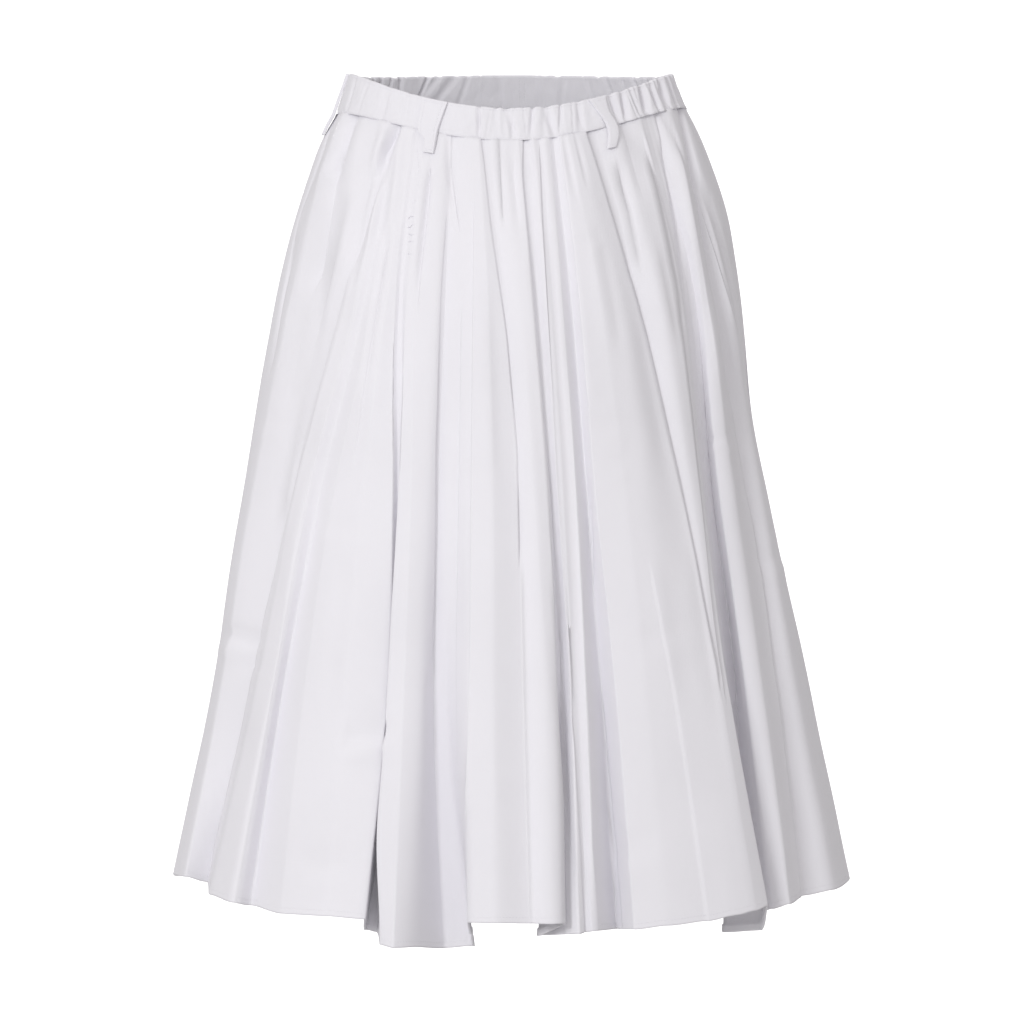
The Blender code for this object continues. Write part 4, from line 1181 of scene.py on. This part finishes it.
STITCH_RINGS = (0.0, 0.2, 0.5, 0.8, 1.0)
STITCH_SIDES = 5
STITCH_FINE = 5  # points of a path to a stitch
STITCH_END = 0.35  # shares of the thread's thickness: a stitch's ends, its rise and its sinking
STITCH_RISE = 0.55
STITCH_SINK = 0.3


def stitch_mesh(paths, pitch=STITCH_PITCH, length=STITCH_LENGTH, thick=THREAD):
    """Vertices and faces of a row of small stitches along each (points, outs) path."""
    vertices, faces = [], []
    for points, outs in paths:
        points, outs = even_path(points, outs, pitch / STITCH_FINE)
        for start in range(0, len(points) - STITCH_FINE, STITCH_FINE):
            a, b = points[start], points[start + STITCH_FINE]
            out = outs[start] / np.linalg.norm(outs[start])
            along = (b - a) / max(np.linalg.norm(b - a), 1e-6)
            side = np.cross(along, out)
            first = len(vertices)
            for ring in STITCH_RINGS:
                middle = a + along * length * ring
                arch = math.sin(math.pi * ring)
                width = thick / 2 * (STITCH_END + (1 - STITCH_END) * arch**0.5)
                middle = middle + out * (thick * STITCH_RISE * arch - thick * STITCH_SINK)
                for k in range(STITCH_SIDES):
                    turn = 2 * math.pi * k / STITCH_SIDES
                    vertices.append(
                        middle + width * (side * math.cos(turn) + out * math.sin(turn))
                    )
            for ring in range(len(STITCH_RINGS) - 1):
                for k in range(STITCH_SIDES):
                    j = first + ring * STITCH_SIDES
                    following = (k + 1) % STITCH_SIDES
                    faces.append((j + k, j + k + STITCH_SIDES,
                                  j + following + STITCH_SIDES, j + following))
            last = first + (len(STITCH_RINGS) - 1) * STITCH_SIDES
            faces.append(tuple(first + k for k in range(STITCH_SIDES)))
            faces.append(tuple(last + k for k in reversed(range(STITCH_SIDES))))
    return np.array(vertices), faces


def make_stitches(name, paths, slot, **how):
    """One piece that holds all stitches of some paths."""
    vertices, faces = stitch_mesh(paths, **how)
    garment_piece(name, vertices, faces, thread)


BAND_PATH_LEAST = 8
BAND_PATH_POINTS = 2.5  # to a degree
BAND_LINE_UPS = (0.06, 0.94)
BAND_LINE_POINTS = 16


def band_path(first, last, up, depth_more=0.0, inside=False):
    """A path along the band at a share of its height, between two angles."""
    count = max(BAND_PATH_LEAST, int(abs(last - first) * BAND_PATH_POINTS))
    angles = np.linspace(first, last, count)
    if inside:
        points = band_points(angles, up, inner_depth(angles, up))
    else:
        points = band_points(angles, up, outer_depth(angles, up) + depth_more)
    turn = np.radians(angles)
    out = np.column_stack([np.sin(turn), -np.cos(turn), np.zeros(len(turn))])
    return points, -out if inside else out


def inner_line(line):
    """A path up the band's inner face, from its foot to its top edge."""
    points = []
    for up in np.linspace(*BAND_LINE_UPS, BAND_LINE_POINTS):
        angle = np.array([line.foot_angle + (line.top_angle - line.foot_angle) * up])
        points.append(band_points(angle, up, inner_depth(angle, up))[0])
    turn = math.radians((line.top_angle + line.foot_angle) / 2)
    out = np.array([-math.sin(turn), math.cos(turn), 0.0])
    return np.array(points), np.repeat(out[None], len(points), axis=0)


def hem_paths(panel):
    """Paths along a panel's hem, a little above its edge, on both faces of the cloth."""
    row = int(np.argmin(np.abs((1 - panel.downs) * HEM_LENGTH - HEM_STITCH_UP)))
    return [(panel.outer[row], panel.outs[row]), (panel.inner[row], -panel.outs[row])]


PATH_STEPS = 12
PATH_NEAREST = 14
PATH_SOFT = 1.5
HIDDEN_AWAY = 1e6  # square pixels that a point which faces away counts as farther


def photo_path(panel, path):
    """A path over a panel's outer face, through the points that the camera sees there."""
    x, y = seen(panel.outer, panel.behind)
    turn = 1 if panel.behind else -1
    hidden = (panel.outs[..., 1] * turn < FACES_CAMERA) * HIDDEN_AWAY
    points, outs = [], []
    for (x0, y0), (x1, y1) in zip(path, path[1:]):
        for step in range(PATH_STEPS):
            share = step / PATH_STEPS
            away = (x - x0 - (x1 - x0) * share) ** 2 + (y - y0 - (y1 - y0) * share) ** 2
            near = np.argsort((away + hidden).ravel())[:PATH_NEAREST]
            weight = 1 / (away.ravel()[near] + PATH_SOFT)
            weight = (weight / weight.sum())[:, None]
            points.append((panel.outer.reshape(-1, 3)[near] * weight).sum(axis=0))
            outs.append((panel.outs.reshape(-1, 3)[near] * weight).sum(axis=0))
    return np.array(points), np.array(outs)


# The stitching of the inset pocket at the left front, and its bar tacks, in the photo's pixels.
POCKET_LINES = (
    ((417, 150), (419, 172), (421, 190), (417, 200), (411, 203)),
    ((430, 168), (431, 190), (428, 216)),
    ((411, 272), (412, 290), (411, 308)),
)
POCKET_TACKS = (
    ((408, 218), (417, 217)),
    ((408, 226), (417, 225)),
    ((408, 235), (417, 234)),
    ((408, 243), (416, 242)),
    ((408, 254), (416, 253)),
)


# Every stitched line round the band runs between these angles, at these shares of its height.
BAND_STITCHED = (-178, 178)
BAND_TOP_STITCHES = 0.92
INNER_STITCHES = (0.90, 0.10)
FOOT_STITCHES = 0.075
FOOT_STITCHES_OUT = 0.7  # share of the lower edge's bulge
LOOP_STITCHES = (0.96, -0.9, 30)  # heights at a loop's top and foot, and points between them
LOOP_STITCHED_AT = (0.14, 0.86)
LOOP_BARS = (-0.90, -0.84, 0.95, 0.90)
LOOP_BAR_ENDS = (0.12, 0.88, 8)
POCKET_TACK = {"pitch": 0.8, "length": 0.75, "thick": 1.0}
LOOP_TACK = {"pitch": 0.9, "length": 0.8}


def loop_path(loop, heights, shares):
    """A path over a loop's outer face, and its directions out."""
    points = loop_grid(loop, heights, shares, LOOP_CLOTH).reshape(-1, 3)
    out = points * np.array([1, 1, 0])
    return points, out / np.linalg.norm(out, axis=1)[:, None]


def make_sewing():
    """The stitching of hem, waistband, pocket and belt loops."""
    pocket = [photo_path(front_cloth, line) for line in POCKET_LINES]
    make_stitches("pocket_stitches", pocket, "skirt_cotton")
    tacks = [photo_path(front_cloth, line) for line in POCKET_TACKS]
    make_stitches("pocket_bar_tacks", tacks, "skirt_cotton", **POCKET_TACK)
    make_stitches("hem_stitches_front", hem_paths(front_cloth), "skirt_cotton")
    make_stitches("hem_stitches_back", hem_paths(back_cloth), "skirt_cotton")
    round_band = [band_path(*BAND_STITCHED, BAND_TOP_STITCHES)]
    round_band += [band_path(*BAND_STITCHED, up, inside=True) for up in INNER_STITCHES]
    outward = BAND_FOOT_ROLL * FOOT_STITCHES_OUT
    round_band.append(band_path(*BAND_FOOT_STITCHED, FOOT_STITCHES, depth_more=-outward))
    up_band = [inner_line(line) for line in INNER_LINES]
    make_stitches("band_stitches", round_band + up_band, "band_cotton")
    lines, bars = [], []
    for loop in LOOPS:
        heights = np.linspace(*LOOP_STITCHES)
        lines += [loop_path(loop, heights, np.array([share])) for share in LOOP_STITCHED_AT]
        bars += [loop_path(loop, [height], np.linspace(*LOOP_BAR_ENDS)) for height in LOOP_BARS]
    make_stitches("loop_stitches", lines, "loop_cotton")
    make_stitches("loop_bar_tacks", bars, "loop_cotton", **LOOP_TACK)


band = make_waistband()
strips = [make_loop(loop) for loop in LOOPS]
make_sewing()


# ------------------------------------------------------------------ stage, lights and camera
FLOOR_HEIGHT = -1.0  # metres, as everything in this section
FLOOR_HALF_WIDTH = 4.0
FLOOR_FRONT = -6.0
FLOOR_BACK = 0.8
BACKDROP_AWAY = 6.0
BACKDROP_FOOT = -2.5
BACKDROP_TOP = 2.5
FLOOR_GREY = 0.7
BACKDROP_GREY = 0.8
BACKDROP_GLOW = 0.9
PAPER_ROUGHNESS = 0.9


def stage_piece(name, profile, colour, glow):
    """A sheet of paper across the stage along a profile of (y, z) points."""
    vertices = [(side * FLOOR_HALF_WIDTH, y, z) for y, z in profile for side in (-1, 1)]
    faces = [(2 * i, 2 * i + 1, 2 * i + 3, 2 * i + 2) for i in range(len(profile) - 1)]
    values = {
        "Base Color": (*[colour] * 3, 1),
        "Roughness": PAPER_ROUGHNESS,
        "Emission Color": (1, 1, 1, 1),
        "Emission Strength": glow,
    }
    paper = new_material(name + "_paper", values)[0]
    piece = mesh_object(name, vertices, faces, paper)
    return piece


def make_stage():
    """A plain pale floor, and a white backdrop far behind it that lights nothing."""
    floor = [(FLOOR_FRONT, FLOOR_HEIGHT), (FLOOR_BACK, FLOOR_HEIGHT)]
    stage_piece("floor", floor, FLOOR_GREY, 0.0)
    upright = [(BACKDROP_AWAY, BACKDROP_FOOT), (BACKDROP_AWAY, BACKDROP_TOP)]
    backdrop = stage_piece("backdrop", upright, BACKDROP_GREY, BACKDROP_GLOW)
    backdrop.visible_diffuse = False
    backdrop.visible_shadow = False


def area_light(name, place, target, size, power, tint):
    """A soft square lamp that faces a point."""
    lamp = bpy.data.lights.new(name, "AREA")
    lamp.shape = "RECTANGLE"
    lamp.size, lamp.size_y = size
    lamp.energy = power
    lamp.color = tint
    piece = add_object(name, lamp)
    piece.location = place
    piece.visible_camera = False
    aim = [t - p for t, p in zip(target, place)]
    length = math.sqrt(sum(a * a for a in aim))
    yaw = math.atan2(-aim[0], aim[1])
    pitch = math.acos(max(-1, min(1, -aim[2] / length)))
    piece.rotation_euler = (pitch, 0, yaw)


WORLD_LIGHT = 0.49
WORLD_LEAN = (-0.05, -0.24, 0.27)  # how much stronger it is from the left, front and above
WORLD_TINT = (1.0, 0.978, 0.972)
KEY_POWER = 62
KEY_TINT = (0.98, 0.99, 1.0)
KEY_AWAY = 4.5
KEY_AZIMUTH = -25.0  # degrees to the right of the camera
KEY_ELEVATION = 15.0
KEY_SIZE = 1.2
LIT_MIDDLE = (0.0, 0.0, -0.35)


def make_lights():
    """Soft light from all round, stronger from above and the front, and a key from the left."""
    world = bpy.data.worlds.new("studio")
    bpy.context.scene.world = world
    world.use_nodes = True
    nodes, links = world.node_tree.nodes, world.node_tree.links
    direction = nodes.new("ShaderNodeTexCoord")
    lean = nodes.new("ShaderNodeVectorMath")
    lean.operation = "DOT_PRODUCT"
    lean.inputs[1].default_value = WORLD_LEAN
    links.new(direction.outputs["Generated"], lean.inputs[0])
    strength = nodes.new("ShaderNodeMath")
    strength.inputs[1].default_value = WORLD_LIGHT
    links.new(lean.outputs["Value"], strength.inputs[0])
    background = nodes["Background"]
    background.inputs["Color"].default_value = (*WORLD_TINT, 1)
    links.new(strength.outputs["Value"], background.inputs["Strength"])
    turn, rise = math.radians(KEY_AZIMUTH), math.radians(KEY_ELEVATION)
    away = (math.sin(turn) * math.cos(rise), -math.cos(turn) * math.cos(rise), math.sin(rise))
    place = [middle + KEY_AWAY * part for middle, part in zip(LIT_MIDDLE, away)]
    area_light("key", place, LIT_MIDDLE, (KEY_SIZE, KEY_SIZE), KEY_POWER, KEY_TINT)


def make_camera():
    """The photograph's camera."""
    data = bpy.data.cameras.new("camera")
    data.sensor_width = SENSOR
    data.lens = SENSOR * CAMERA_AWAY / FRAME_WIDTH
    camera = add_object("camera", data)
    camera.location = (CAMERA_ACROSS * MM, -CAMERA_AWAY * MM, CAMERA_HEIGHT * MM)
    camera.rotation_euler = (math.radians(90), 0, 0)
    bpy.context.scene.camera = camera


make_stage()
make_lights()
make_camera()
bpy.context.scene.view_settings.view_transform = "Standard"
